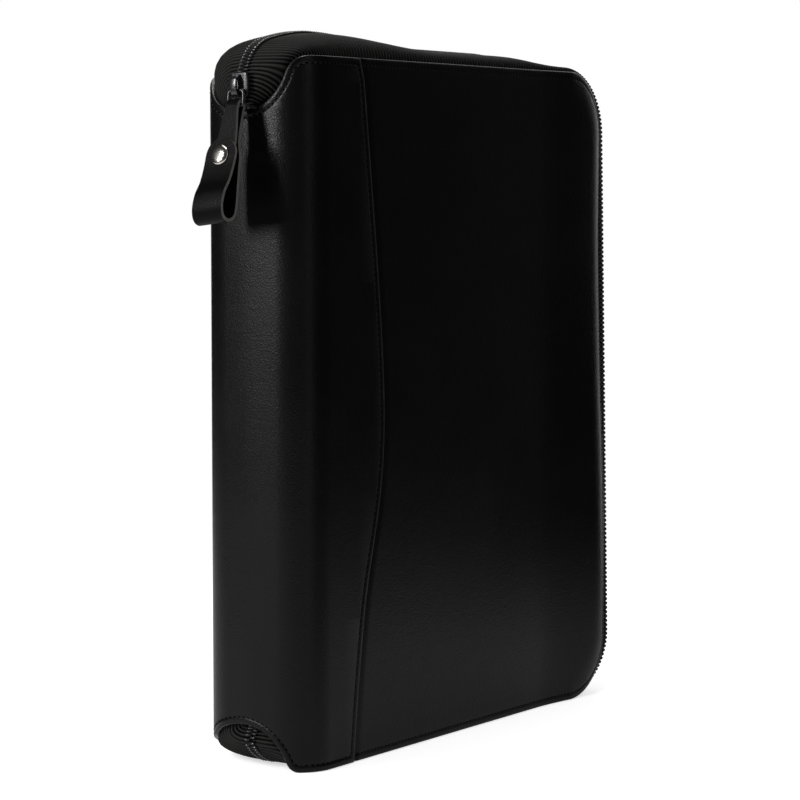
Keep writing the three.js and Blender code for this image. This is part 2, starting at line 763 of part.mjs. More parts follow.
function buildRings() {
  const bladeMiddle = ringBase + bladeHeight + bladeThickness / 2;
  const bladeEdge = ringPlateWidth / 2 - bladeOuterGap;
  const steps = 2 * arcSteps;
  const tipAngle = ringTipGap / 2 / ringMiddleRadius;
  const wire = [];
  for (let i = 0; i <= steps; i++) {
    const angle = THREE.MathUtils.lerp(tipAngle, ringFootAngle, i / steps);
    wire.push(vec3(ringMiddleRadius * Math.cos(angle), -ringMiddleRadius * Math.sin(angle), 0));
  }
  const frontHalf = planeTube(wire, vec3(0, 0, 1), ringWire, ringWire);
  for (const [side, sign] of [['front', -1], ['back', 1]]) {
    const edges = [sign * ringTipGap, sign * bladeEdge].sort((a, b) => a - b);
    addPiece(mechanism, `${side}_blade`, block(
      vec3(bladeMiddle - bladeThickness / 2, edges[0], -bladeLength / 2),
      vec3(bladeMiddle + bladeThickness / 2, edges[1], bladeLength / 2)), steel());
    ringHeights.forEach((z, i) => {
      const half = sign < 0 ? frontHalf.clone() : mirrored(frontHalf);
      addPiece(mechanism, `${side}_half_ring_${i + 1}`, half, steel()).position.set(ringCentreX, 0, z);
    });
  }
}

function buildLevers() {
  const bar = leverBar / 2;
  const profile = new THREE.Shape([
    vec2(-bar, -leverInset), vec2(bar, -leverInset), vec2(bar, leverInset),
    vec2(leverRise, leverReach - leverBar / 3), vec2(leverRise - bar, leverReach + bar / 2),
    vec2(-bar, leverInset + leverBar / 2),
  ]);
  const level = leverBar / (ringPlateHeight - ringPlateWall);
  const wallInside = (ringPlateWidth / 2 - ringPlateWall) * Math.sqrt(1 - level ** 2);
  const pinLength = 2 * (wallInside - leverPin - pieceGap);
  const pin = new THREE.CylinderGeometry(leverPin, leverPin, pinLength, 2 * tubeSides);
  const lever = solid(facingFront(profile, -leverWidth / 2, leverWidth / 2)).add(solid(pin));
  for (const [name, side] of [['upper_lever', 1], ['lower_lever', -1]]) {
    const shape = side > 0 ? surface(lever) : facingOut(surface(lever).scale(1, 1, -1));
    addPiece(mechanism, name, shape, steel())
      .position.set(ringBase + leverBar, 0, side * (ringPlateLength / 2 - leverInset));
  }
}

// Slider, in its own frame: outwards is -X

const slider = new THREE.Group();
slider.position.set(-coilProud, 0, coverHeight - sliderBelowTop);
binder.add(slider);

function sliderPlateShape(width, tail) {
  const half = sliderLength / 2;
  const shape = new THREE.Shape();
  shape.moveTo(-tail / 2, half);
  shape.quadraticCurveTo(-width / 2, half, -width / 2, 0);
  shape.quadraticCurveTo(-width / 2, -half, -tail / 4, -half);
  shape.lineTo(tail / 4, -half);
  shape.quadraticCurveTo(width / 2, -half, width / 2, 0);
  shape.quadraticCurveTo(width / 2, half, tail / 2, half);
  return shape;
}

const sliderFace = sliderChannel / 2 + sliderPlate;
const bailAxisOut = sliderFace + bridgeRise / 2 - bridgeWall / 2 + 0.1;

function buildSlider() {
  const channel = sliderChannel / 2;
  const outer = solid(facingSpine(sliderPlateShape(sliderWidth, sliderTail), -sliderFace, -channel));
  const inner = solid(facingSpine(
    sliderPlateShape(sliderInnerWidth, sliderInnerWidth), channel, sliderFace));
  const postFoot = -sliderLength / 2 + 0.4;
  const post = solid(block(vec3(-channel - sliderPlate / 2, -sliderPost / 2, postFoot),
    vec3(channel + sliderPlate / 2, sliderPost / 2, postFoot + 2)));
  const rise = sliderFace + bridgeRise;
  const half = bridgeLength / 2;
  const profile = new THREE.Shape([
    vec2(-sliderFace + 0.2, half), vec2(-sliderFace - 1.2, half), vec2(-rise, half / 2),
    vec2(-rise, -half / 2), vec2(-rise + bridgeWall, -half), vec2(-sliderFace + 0.2, -half),
  ]);
  const inside = half - bridgeWall - 0.15;
  profile.holes.push(new THREE.Path([
    vec2(-sliderFace - 0.2, inside / 3), vec2(-sliderFace - 0.2, -inside),
    vec2(-rise + bridgeWall, -inside), vec2(-rise + bridgeWall, 0),
  ]));
  const bridge = solid(facingFront(profile, -bridgeWidth / 2, bridgeWidth / 2));
  addPiece(slider, 'slider_body', outer.add(inner).add(post).add(bridge), blackMetal());
}

// Pull, hung on the bridge

const pull = new THREE.Group();
pull.position.set(-bailAxisOut, 0, -bailDrop);
slider.add(pull);

function buildBail() {
  const half = bailWidth / 2;
  const bend = 1;
  const outline = new THREE.Path();
  outline.moveTo(half - bend, 0);
  outline.absarc(half - bend, -bend, bend, quarterTurn, 0, true);
  outline.absarc(half - bend, bend - bailLength, bend, 0, -quarterTurn, true);
  outline.absarc(bend - half, bend - bailLength, bend, -quarterTurn, -Math.PI, true);
  outline.absarc(bend - half, -bend, bend, Math.PI, quarterTurn, true);
  const points = outline.getPoints(2).map((point) => vec3(0, point.x, point.y));
  const path = points.filter((point, i) => i === 0 || point.distanceTo(points[i - 1]) > 0.01);
  if (path.at(-1).distanceTo(path[0]) < 0.01) path.pop();
  const bail = planeTube(path, vec3(1, 0, 0), bailWire, bailWire, true);
  addPiece(pull, 'pull_bail', bail, blackMetal()).rotation.y = bailLean;
}

const strap = new THREE.Group();
strap.position.set(-bailLength * Math.sin(bailLean), 0, -bailLength * Math.cos(bailLean));
pull.add(strap);

// Point of the strap's side view: along the leaning neck and outwards from it
function onNeck(along, out) {
  return vec2(
    -along * Math.sin(strapLean) - out * Math.cos(strapLean),
    -along * Math.cos(strapLean) + out * Math.sin(strapLean));
}

const layerPitch = strapThickness + 0.2;
const wrapRadius = bailWire / 2 + strapWrapClearance + strapThickness / 2;

function buildStrap() {
  const half = strapWidth / 2, neck = strapNeck / 2, neckLow = strapNeckLow / 2;
  const rows = [];
  const row = (point, width) => rows.push([vec3(point.x, -width, point.y), vec3(point.x, width, point.y)]);
  for (let i = 1; i < arcSteps; i++) {
    const angle = quarterTurn * i / arcSteps;
    row(onNeck(strapToRivet - half * Math.cos(angle), 1.5 * layerPitch), half * Math.sin(angle));
  }
  const low = strapToRivet + rivetRadius;
  const frontTop = onNeck(low, 1.5 * layerPitch);
  const backTop = onNeck(low, -layerPitch / 2);
  const foldZ = backTop.y - strapLoopLength + strapLoopDepth / 2;
  const foldX = backTop.x - 1;
  const inLoop = (out, up, width = half) => vec3(foldX - out * strapLoopDepth, foldZ + up, width);
  const curve = [
    vec3(...onNeck(strapToRivet, 1.5 * layerPitch), half),
    vec3(...frontTop, half),
    vec3(...vec2().lerpVectors(frontTop, vec2(foldX - strapLoopDepth, foldZ), 0.35), half),
    inLoop(0.86, 0.3 * strapLoopLength),
    inLoop(1, 0.02 * strapLoopLength),
    inLoop(0.86, -0.36 * strapLoopDepth),
    inLoop(0.5, -0.52 * strapLoopDepth),
    inLoop(0.13, -0.36 * strapLoopDepth),
    inLoop(0, 0.02 * strapLoopLength),
    vec3(...vec2().lerpVectors(vec2(foldX, foldZ), backTop, 0.5), half),
    vec3(...backTop, half),
    vec3(...onNeck(strapToRivet, -layerPitch / 2), 0.92 * half),
    vec3(...onNeck(strapToRivet - half, -layerPitch / 2 - 0.1), neckLow),
    vec3(...onNeck(wrapRadius, -wrapRadius), neck),
    vec3(...onNeck(0, -wrapRadius), neck),
    vec3(...onNeck(-0.72 * wrapRadius, -0.72 * wrapRadius), neck),
    vec3(...onNeck(-wrapRadius, 0), neck),
    vec3(...onNeck(-0.72 * wrapRadius, 0.72 * wrapRadius), neck),
    vec3(...onNeck(0, wrapRadius), neck),
    vec3(...onNeck(wrapRadius, wrapRadius), neck),
    vec3(...onNeck(strapToRivet - half, layerPitch / 2 + 0.1), neckLow),
    vec3(...onNeck(strapToRivet + rivetRadius, layerPitch / 2), neckLow),
  ];
  const line = new THREE.CatmullRomCurve3(curve, false, 'centripetal');
  for (const point of line.getPoints(4 * (curve.length - 1))) row(vec2(point.x, point.y), point.z);
  const holeRadius = rivetShank + pieceGap;
  const hole = new THREE.CylinderGeometry(holeRadius, holeRadius, beyond, 2 * tubeSides);
  const place = onNeck(strapToRivet, 0);
  hole.rotateZ(quarterTurn).rotateY(strapLean).translate(place.x, 0, place.y);
  addPiece(strap, 'pull_strap', solid(thickSheet(rows, strapThickness)).subtract(solid(hole)), leather());
}

// Dome rivet through all three layers of the strap; its axis is turned with the neck
function buildPullRivet() {
  const capSeat = 1.5 * layerPitch + strapThickness / 2 + layerGap;
  const backSeat = -layerPitch / 2 - strapThickness / 2 - layerGap;
  const profile = [
    vec2(0, backSeat - 0.6), vec2(0.75 * rivetRadius, backSeat - 0.5), vec2(0.75 * rivetRadius, backSeat),
    vec2(rivetShank, backSeat), vec2(rivetShank, capSeat), vec2(rivetRadius, capSeat),
    vec2(0.94 * rivetRadius, capSeat + 0.5 * rivetDome), vec2(0.65 * rivetRadius, capSeat + 0.87 * rivetDome),
    vec2(0, capSeat + rivetDome),
  ];
  const rivet = new THREE.LatheGeometry(profile, 3 * tubeSides).rotateZ(quarterTurn);
  const mesh = addPiece(strap, 'pull_rivet', solid(rivet), nickel());
  const place = onNeck(strapToRivet, 0);
  mesh.position.set(place.x, 0, place.y);
  mesh.rotation.y = strapLean;
}

buildSpine();
buildStops();
buildCovers();
buildPockets();
buildRingPlate();
buildRingRivets();
buildRings();
buildLevers();
buildSlider();
buildBail();
buildStrap();
buildPullRivet();

// The binder stands with the middle of its box on the origin
binder.updateMatrixWorld(true);
const bounds = new THREE.Box3().setFromObject(binder, true);
binder.position.x = -(bounds.min.x + bounds.max.x) / 2;

export default binder;
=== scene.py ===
"""Zippered planner binder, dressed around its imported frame.

Lengths are in millimetres until a piece is finished.
"""
from bisect import bisect_right
from math import asin, cos, hypot, pi, radians, sin, sqrt, tau

import bmesh
import bpy
from mathutils import Matrix, Vector, noise


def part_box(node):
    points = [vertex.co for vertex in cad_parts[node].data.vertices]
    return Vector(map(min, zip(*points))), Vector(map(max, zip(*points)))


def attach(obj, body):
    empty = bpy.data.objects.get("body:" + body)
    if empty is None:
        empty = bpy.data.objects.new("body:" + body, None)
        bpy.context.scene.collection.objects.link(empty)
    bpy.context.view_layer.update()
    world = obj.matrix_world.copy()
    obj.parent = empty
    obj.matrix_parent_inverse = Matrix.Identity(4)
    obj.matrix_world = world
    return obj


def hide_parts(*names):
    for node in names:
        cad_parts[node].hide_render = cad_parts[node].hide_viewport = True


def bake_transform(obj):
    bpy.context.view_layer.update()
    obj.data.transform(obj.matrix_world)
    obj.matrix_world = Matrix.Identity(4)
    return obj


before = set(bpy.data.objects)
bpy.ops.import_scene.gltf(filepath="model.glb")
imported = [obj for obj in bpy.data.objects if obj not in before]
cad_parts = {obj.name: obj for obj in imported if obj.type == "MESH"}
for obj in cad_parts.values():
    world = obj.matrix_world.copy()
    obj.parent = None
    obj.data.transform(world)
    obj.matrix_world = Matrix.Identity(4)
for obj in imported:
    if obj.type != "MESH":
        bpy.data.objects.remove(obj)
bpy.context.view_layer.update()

MM = 0.001
SPINE_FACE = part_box("spine_leather")[0].x

# Covers and spine
COVER_HEIGHT, COVER_WIDTH, HALF_DEPTH = 245, 195, 24
SPINE_RADIUS, CORNER_RADIUS = 14, 24
FORE_EDGE_RUN, FORE_EDGE_FALLS, FORE_EDGE_EASES, FORE_EDGE_DEPTHS = 50, (-4.2, -0.6), (40, 190), (4, 2.2)
SPINE_FLAT = HALF_DEPTH - SPINE_RADIUS
COVER_START = SPINE_FLAT + SPINE_RADIUS * pi / 2
TOP_SCOOP = (19, 18.4, 9)
FOOT_SCOOP = (19, 15, 5)
SCOOP_SHIFT, BACK_STRETCH, STRETCH_DEPTHS = 3, (1.65, 1.12), (3, 10)
SEAM = [(28, 0), (34.475, 51.92), (46.5, 118), (35.6, 229), (32, 245)]
PANEL_STEP, PANEL_SUNK, PANEL_DIPS, PANEL_TUCK, PANEL_LEATHER = 0.45, 1.12, (-0.2, 3.2), 6, 0.52
PANEL_STITCH_CLEAR = 1.4
SEAM_SCORES = (1.2, 0.6, 0.1, -0.4, -0.9, -1.5, -2.2, -3, -4)
SPINE_CROWN, CROWN_REACH = 0.7, 16
SPINE_SPLIT = 8
SLACK, SLACK_SPREAD, SLACK_STARTS = 0.16, (46, 52), (14, 45)
FORE_ROLL, FORE_ROLL_FALL, FORE_ROLL_RUN, FORE_ROLL_STARTS = 1.2, 3.1, 10.5, (150, 184)
LEATHER, STRIP_EDGE, STRIP_THINS = 1.6, 1.0, (12, 8)
LINING_TOP, INSIDE = 4.2, 5.0
LINING_INSET, LINING_SCOOP_MARGIN = 2.3, 6

# Stitching
STITCH_PITCH, STITCH_LENGTH, THREAD, STITCH_INSET = 2.1, 1.15, 0.45, 2.6
NEEDLE_HOLE = (0.5, 0.42, 0.14)
RIM = 0.5

# Zipper
TAPE_DEPTH, TAPE_TUCK, TAPE_RISE, TAPE_INNER_EDGE = 2.2, 4, 1, 3.4
COIL_PROUD, COIL_TOP_END, SLIDER_BELOW_TOP = 3, 15.6, 10.2
SLIDER_ARC, SLIDER_TURN = 16, radians(75)
CREST_HIGH, CREST_LOW, CREST_SETTLES, CREST_FALLS, FORE_EDGE_BULGE = 8.3, 4.7, 90, 135, 2
HEAD_LEAD = ((3.2, 222), (2.9, 225), (1.6, 226.9), (-0.4, 227.5), (-2.3, 228.2))
FLOOR_RISE, FOOT_ARC, FOOT_END, FOOT_PROUD, FOOT_LINE_END = 1.0, 16, 15, 2, 40
FOOT_END_SHIFT, FOOT_SHIFT_FROM = 4.6, radians(32)
FOOT_TAIL = ((2.9, 17.4), (3.1, 20), (3.2, 24))
RIB_PITCH, GATHERED_PITCH, RIB_DEPTH, RIB_WAVE = 1.75, 1.3, 0.36, (1, 0.62, -1, 0.62)
GATHERED_HEAD, GATHERED_FOOT = (35, 60), (30, 50)
GUSSET_FULLNESS, FORE_FULLNESS, FORE_FULL = {1: 0.88, -1: 1}, 1.4, (140, 185)
TAPE_HALF, UNDER_COIL = 0.3, 0.55
TAPE_COLUMNS = [0, 0.5, 1] + [1 + i / 7 for i in range(1, 8)] + [2.4, 3]
TOOTH_PITCH, ROW_OFFSET, COIL_STARTS, COIL_SHORTER = 1.25, 0.8, 9, 12
COIL_RAISED, COIL_RISES, COIL_LEVELS = (0.5, 0.75), (42, 60), (-0.9, -0.3)
TOOTH_BAR, TOOTH_KNUCKLE, KNUCKLE_OUT, KNUCKLE_UP = (1.1, 0.54, 0.85, 1), (0.58, 0.35, 0.5, 1), 0.7, 0.45


# Turning a finished mesh into a piece

def at(x, y, z):
    return Vector((SPINE_FACE + x * MM, y * MM, z * MM))


def mesh_of(bm, name):
    mesh = bpy.data.meshes.new(name)
    bm.to_mesh(mesh)
    bm.free()
    return mesh


def in_scene(name, data):
    thing = bpy.data.objects.new(name, data)
    bpy.context.scene.collection.objects.link(thing)
    return thing


def piece(bm, name, *finishes, crease=50):
    """Ends a mesh: edges sharper than the crease stay crisp, and its place is scaled to the frame."""
    to_frame = Matrix.Translation((SPINE_FACE, 0, 0)) @ Matrix.Scale(MM, 4)
    bmesh.ops.transform(bm, matrix=to_frame, verts=bm.verts)
    for face in bm.faces:
        face.smooth = True
    for edge in bm.edges:
        if len(edge.link_faces) == 2:
            edge.smooth = edge.calc_face_angle(0) < radians(crease)
    mesh = mesh_of(bm, name)
    for finish in finishes:
        mesh.materials.append(finish)
    return in_scene(name, mesh)


def shaped(bm, rule):
    """Moves each point of a flat piece of work to its place on the binder."""
    for vert in bm.verts:
        vert.co = rule(*vert.co)
    bmesh.ops.recalc_face_normals(bm, faces=bm.faces)
    return bm


def joined(bm, other, finish=None):
    """Adds another mesh to this one, with its own finish."""
    if finish is not None:
        for face in other.faces:
            face.material_index = finish
    loose = mesh_of(other, "loose")
    bm.from_mesh(loose)
    bpy.data.meshes.remove(loose)
    return bm


def bead(segments, rings):
    """A small round shape, lying along X, that is repeated many times."""
    bm = bmesh.new()
    bmesh.ops.create_uvsphere(bm, u_segments=segments, v_segments=rings, radius=1,
                              matrix=Matrix.Rotation(pi / 2, 4, "Y"))
    return mesh_of(bm, "bead")


def beads(shape, places):
    """Copies of one shape, each turned, sized and set in its place."""
    bm = bmesh.new()
    for place in places:
        copy = shape.copy()
        copy.transform(place)
        bm.from_mesh(copy)
        bpy.data.meshes.remove(copy)
    bpy.data.meshes.remove(shape)
    return bm


def everything(bm):
    return [*bm.verts, *bm.edges, *bm.faces]


def lerp(a, b, share):
    return a + (b - a) * share


def smooth_step(low, high, value):
    share = min(1, max(0, (value - low) / (high - low)))
    return share * share * (3 - 2 * share)


def spaced(start, end, step):
    count = max(1, round(abs(end - start) / step))
    return [lerp(start, end, i / count) for i in range(count + 1)]


# The covers' skin: its distance u is measured round the binder from the middle of the spine,
# less than nothing on the front, and depth goes in from the outside

def fore_edge_bend(x, z):
    """The fore edge stands away from the pages, more at the foot than at the top."""
    run = max(0, x - (COVER_WIDTH - FORE_EDGE_RUN))
    return lerp(*FORE_EDGE_FALLS, smooth_step(*FORE_EDGE_EASES, z)) * (run / FORE_EDGE_RUN) ** 2


def wrap_point(distance, depth, z=COVER_HEIGHT / 2):
    """The front's X and Y at a skin distance, flat on the spine, round the hinge, then along the cover."""
    if distance <= SPINE_FLAT:
        return depth, -distance
    if distance <= COVER_START:
        angle = (distance - SPINE_FLAT) / SPINE_RADIUS
        radius = SPINE_RADIUS - depth
        return SPINE_RADIUS - radius * cos(angle), -SPINE_FLAT - radius * sin(angle)
    x = SPINE_RADIUS + distance - COVER_START
    return x, depth - HALF_DEPTH + fore_edge_bend(x, z) * smooth_step(*FORE_EDGE_DEPTHS, depth)


def distance_at(x):
    return COVER_START + x - SPINE_RADIUS


def on_wrap(u, z, depth):
    x, y = wrap_point(abs(u), depth, z)
    return Vector((x, y if u < 0 else -y, z))


def padding(u, z):
    """How far the outer leather stands off its boards: a crown on the spine, slight hollows on the
    covers, and a roll towards the fore edge."""
    crown = SPINE_CROWN * cos(pi * u / (2 * CROWN_REACH)) ** 2 if abs(u) < CROWN_REACH else 0
    hollow = noise.noise((u / SLACK_SPREAD[0], z / SLACK_SPREAD[1], 3.1))
    slack = SLACK * smooth_step(*SLACK_STARTS, abs(u)) * hollow
    x = abs(u) - distance_at(0)
    roll = FORE_ROLL * smooth_step(*FORE_ROLL_STARTS, x)
    across = x - COVER_WIDTH + CORNER_RADIUS
    if across > 0:
        middle = COVER_HEIGHT / 2
        reach = hypot(across, max(0, abs(z - middle) - middle + CORNER_RADIUS))
        fall = max(0, 1 - (CORNER_RADIUS - reach) / FORE_ROLL_RUN)
        roll -= FORE_ROLL_FALL * fall ** 2 * across / reach
    return crown + slack + roll


def outside(u, z, height):
    return on_wrap(u, z, -height - padding(u, z))


def inside(depth):
    """The rule for a layer that is seen from within: its worked face looks inwards."""
    return lambda u, z, height: on_wrap(u, z, depth + height)


def scoop_line(scoop, edge, up, margin=0):
    """The scoop cut in the leather's edge, from its long ramp at the back to the front."""
    radius, depth, fillet = scoop[0] + margin, scoop[1] + margin, scoop[2]
    rise = radius - depth
    centre = sqrt((radius + fillet) ** 2 - (rise + fillet) ** 2)
    turn = asin(centre / (radius + fillet))
    half = [(centre - fillet * sin(turn * i / 8), fillet - fillet * cos(turn * i / 8)) for i in range(8)]
    half += [(radius * sin(turn * (1 - i / 18)), radius * cos(turn * (1 - i / 18)) - rise) for i in range(19)]
    line = [(s * lerp(*BACK_STRETCH, smooth_step(*STRETCH_DEPTHS, d)), d) for s, d in half]
    line += [(-s, d) for s, d in reversed(half[:-1])]
    return [(s + SCOOP_SHIFT, edge - up * d) for s, d in line]


def scoop_depth(u, scoop):
    """How deep the leather is cut at this skin distance, below nothing on the front."""
    line = scoop_line(scoop, 0, -1)
    for (u0, d0), (u1, d1) in zip(line, line[1:]):
        if u1 <= u <= u0:
            return lerp(d0, d1, (u0 - u) / max(1e-6, u0 - u1))
    return 0


def through(points, steps):
    """A smooth line through points, with even weights and its ends doubled."""
    line = []
    for i in range(len(points) - 1):
        p0, p1, p2, p3 = (points[min(len(points) - 1, max(0, i + k))] for k in (-1, 0, 1, 2))
        for step in range(steps):
            t = step / steps
            line.append(tuple(
                (2 * b - 2 * c + (c - a) / 2 + (d - b) / 2) * t ** 3
                + (-3 * b + 3 * c - (c - a) - (d - b) / 2) * t * t + (c - a) / 2 * t + b
                for a, b, c, d in zip(p0, p1, p2, p3)))
    return line + [tuple(points[-1])]


def rising(line, step):
    """The points of a line that go up by at least a step, and its last point."""
    kept = [line[0]]
    for point in line[1:-1]:
        if kept[-1][1] + step < point[1] < line[-1][1] - step:
            kept.append(point)
    return kept + [line[-1]]


SEAM_LINE = rising(through(SEAM, 12), 3.5)


def seam_at(z):
    i = min(len(SEAM_LINE) - 2, max(0, bisect_right([p[1] for p in SEAM_LINE], z) - 1))
    (x0, z0), (x1, z1) = SEAM_LINE[i], SEAM_LINE[i + 1]
    return lerp(x0, x1, (z - z0) / (z1 - z0))


def fore_edge_line(inset=0):
    """The covers' two rounded corners, from the foot to the top, as (u, z)."""
    low, high = CORNER_RADIUS, COVER_HEIGHT - CORNER_RADIUS
    radius, centre = CORNER_RADIUS - inset, distance_at(COVER_WIDTH - CORNER_RADIUS)
    quarter = [pi / 2 * i / 14 for i in range(15)]
    return ([(centre + radius * sin(a), low - radius * cos(a)) for a in quarter]
            + [(centre + radius * cos(a), high + radius * sin(a)) for a in quarter])


def wrap_outline():
    seam = [(-distance_at(x), z) for x, z in reversed(SEAM_LINE)]
    return (scoop_line(FOOT_SCOOP, 0, -1)[::-1] + fore_edge_line()
            + scoop_line(TOP_SCOOP, COVER_HEIGHT, 1) + seam)


def panel_outline():
    tuck = [(-distance_at(x - PANEL_TUCK), z) for x, z in SEAM_LINE]
    return tuck + [(-u, z) for u, z in reversed(fore_edge_line())]


# Flat sheets with worked edges

def scored(bm, point, square, **clear):
    """Cuts a flat sheet through along a straight line."""
    bmesh.ops.bisect_plane(bm, geom=everything(bm), dist=1e-4, plane_co=point, plane_no=square, **clear)


def cut_sheet(outline, bands, across=(), along=()):
    """Cuts a sheet to its outline, works its edge in bands of (distance in, height),
    and scores it so that it bends."""
    bm = bmesh.new()
    rim = bm.faces.layers.int.new("rim")
    middle = bm.faces.new([bm.verts.new((a, b, bands[0][1])) for a, b in outline])
    worked = bands[0][0]
    for distance, height in bands[1:]:
        made = bmesh.ops.inset_region(
            bm, faces=[middle], thickness=distance - worked, use_even_offset=True, use_boundary=True)
        for face in made["faces"]:
            face[rim] = distance < RIM
        for vert in middle.verts:
            vert.co.z = height
        worked = distance
    for side, places in ((0, across), (1, along)):
        for place in places:
            point, square = Vector((0, 0, 0)), Vector((0, 0, 0))
            point[side], square[side] = place, 1
            scored(bm, point, square)
    return bm


def burnish(bm, finish):
    """Gives the rubbed rim of a leather sheet its own finish."""
    rim = bm.faces.layers.int["rim"]
    for face in bm.faces:
        if face[rim]:
            face.material_index = finish


def apart(outline, gap):
    """The outline without its points that lie closer than the gap."""
    return [p for i, p in enumerate(outline)
            if hypot(p[0] - outline[i - 1][0], p[1] - outline[i - 1][1]) > gap]


def kept_side(bm, place, keep_above):
    """Parts a flat sheet along a line of even u and keeps one side of it."""
    scored(bm, (place, 0, 0), (1, 0, 0), clear_inner=keep_above, clear_outer=not keep_above)
    return bm


def thickened(bm, under):
    """Gives a flat sheet its underside, at a height that may change with its place."""
    made = bmesh.ops.extrude_face_region(bm, geom=bm.faces[:], use_keep_orig=True)
    for vert in made["geom"]:
        if isinstance(vert, bmesh.types.BMVert):
            vert.co.z = under(vert.co.x, vert.co.y)
    return bm


def finished_sheet(bm, rule):
    """Bends a sheet to its rule and leaves no face with many corners."""
    shaped(bm, rule)
    bmesh.ops.triangulate(bm, faces=[f for f in bm.faces if len(f.verts) > 4])
    bmesh.ops.recalc_face_normals(bm, faces=bm.faces)
    return bm


def set_in(outline, inset):
    """The outline moved in by an even distance."""
    count = len(outline)
    area = sum(outline[i][0] * outline[(i + 1) % count][1] - outline[(i + 1) % count][0] * outline[i][1]
               for i in range(count))
    turn = 1 if area > 0 else -1
    line = []
    for i, (a, b) in enumerate(outline):
        before, after = outline[i - 1], outline[(i + 1) % count]
        one = Vector((a - before[0], b - before[1])).normalized()
        two = Vector((after[0] - a, after[1] - b)).normalized()
        inward = Vector((-one.y - two.y, one.x + two.x)).normalized() * turn
        inset_here = inset / max(0.5, sqrt((1 + one.dot(two)) / 2))
        line.append(Vector((a, b)) + inward * inset_here)
    return line


def stitch_row(outline, inset, keep):
    """Places and directions of the stitches along an outline, where keep allows them."""
    line = set_in(outline, inset)
    line.append(line[0])
    places, left = [], 0
    for start, end in zip(line, line[1:]):
        run = (end - start).length
        while left < run:
            point = start.lerp(end, left / run)
            if keep(point.x, point.y):
                places.append((point, (end - start).normalized()))
            left += STITCH_PITCH
        left -= run
    return places


def on_sheet(point, run, rule, height, size):
    """The place of a small shape that lies on a bent sheet, with its length along the run."""
    middle = rule(point.x, point.y, height)
    along = (rule(point.x + run.x * 0.5, point.y + run.y * 0.5, height) - middle).normalized()
    side = (rule(point.x, point.y, height + 1) - middle).cross(along).normalized()
    place = Matrix((along, side, along.cross(side))).transposed().to_4x4()
    place.translation = middle
    return place @ Matrix.Diagonal((*size, 1))


def stitches(places, rule, height=-0.1):
    """Short threads, partly sunk in the sheet."""
    size = (STITCH_LENGTH / 2, THREAD / 2, THREAD / 2 * 1.1)
    return beads(bead(8, 6), [on_sheet(point, run, rule, height, size) for point, run in places])


def shade_beads_for_holes(places, rule, height=-0.2):
    """Dark beads of painted shade for the needle's pricks between the stitches."""
    return beads(bead(8, 4), [on_sheet(point + run * STITCH_PITCH / 2, run, rule, height, NEEDLE_HOLE)
                              for point, run in places])


# Finishes

class Amount:
    """A number that changes over a surface."""

    def __init__(self, nodes, socket):
        self.nodes, self.socket = nodes, socket

    def worked(self, operation, *others):
        node = self.nodes.node("ShaderNodeMath", {"operation": operation}, dict(enumerate(others)))
        return Amount(self.nodes, node.outputs[0])

    def __add__(self, other):
        return self.worked("ADD", self, other)

    def __radd__(self, other):
        return self.worked("ADD", other, self)

    def __mul__(self, other):
        return self.worked("MULTIPLY", self, other)

    def __rmul__(self, other):
        return self.worked("MULTIPLY", other, self)

    def larger(self, other):
        return self.worked("MAXIMUM", self, other)


class Nodes:
    """The nodes of a material or of the world."""

    def __init__(self, owner):
        owner.use_nodes = True
        self.tree = owner.node_tree
        self.tree.nodes.clear()

    def node(self, kind, settings=None, inputs=None):
        node = self.tree.nodes.new(kind)
        for setting, value in (settings or {}).items():
            setattr(node, setting, value)
        for socket, value in (inputs or {}).items():
            self.feed(node.inputs[socket], value)
        return node

    def feed(self, socket, value):
        if isinstance(value, Amount):
            value = value.socket
        if isinstance(value, bpy.types.NodeSocket):
            self.tree.links.new(value, socket)
        elif isinstance(value, tuple) and len(value) == 3 and socket.type == "RGBA":
            socket.default_value = (*value, 1)
        else:
            socket.default_value = value

    def colour(self, share, one, two):
        node = self.node("ShaderNodeMix", {"data_type": "RGBA"})
        for socket, value in (("Factor_Float", share), ("A_Color", one), ("B_Color", two)):
            self.feed(next(s for s in node.inputs if s.identifier == socket), value)
        return next(s for s in node.outputs if s.identifier == "Result_Color")

    def ray(self, kind):
        return Amount(self, self.node("ShaderNodeLightPath").outputs[f"Is {kind} Ray"])

    def seen(self):
        """One where the camera looks, straight or by way of gloss or glass."""
        return self.ray("Camera").larger(self.ray("Glossy")).larger(self.ray("Transmission"))


class Finish(Nodes):
    """A procedural finish, built around one Principled shader."""

    def __init__(self, name, **constants):
        self.material = bpy.data.materials.new(name)
        super().__init__(self.material)
        self.shader = self.node("ShaderNodeBsdfPrincipled")
        self.end = self.node("ShaderNodeOutputMaterial", inputs={0: self.shader.outputs[0]})
        for socket, value in constants.items():
            self.set(socket.replace("_", " "), value)
        self.place = self.node("ShaderNodeTexCoord").outputs["Object"]

    def set(self, socket, value):
        self.feed(self.shader.inputs[socket], value)

    def speckle(self, scale, detail=2):
        inputs = {"Vector": self.place, "Scale": scale, "Detail": detail}
        return Amount(self, self.node("ShaderNodeTexNoise", inputs=inputs).outputs[0])

    def cells(self, scale, feature="F1"):
        inputs = {"Vector": self.place, "Scale": scale}
        node = self.node("ShaderNodeTexVoronoi", {"feature": feature}, inputs)
        return Amount(self, node.outputs["Distance"])

    def between(self, share, low, high):
        node = self.node("ShaderNodeMapRange", inputs={"Value": share, "To Min": low, "To Max": high})
        return Amount(self, node.outputs[0])

    def relief(self, height, depth, strength=1):
        bump = self.node("ShaderNodeBump", inputs={"Height": height, "Strength": strength, "Distance": depth})
        self.set("Normal", bump.outputs[0])
        return self.material


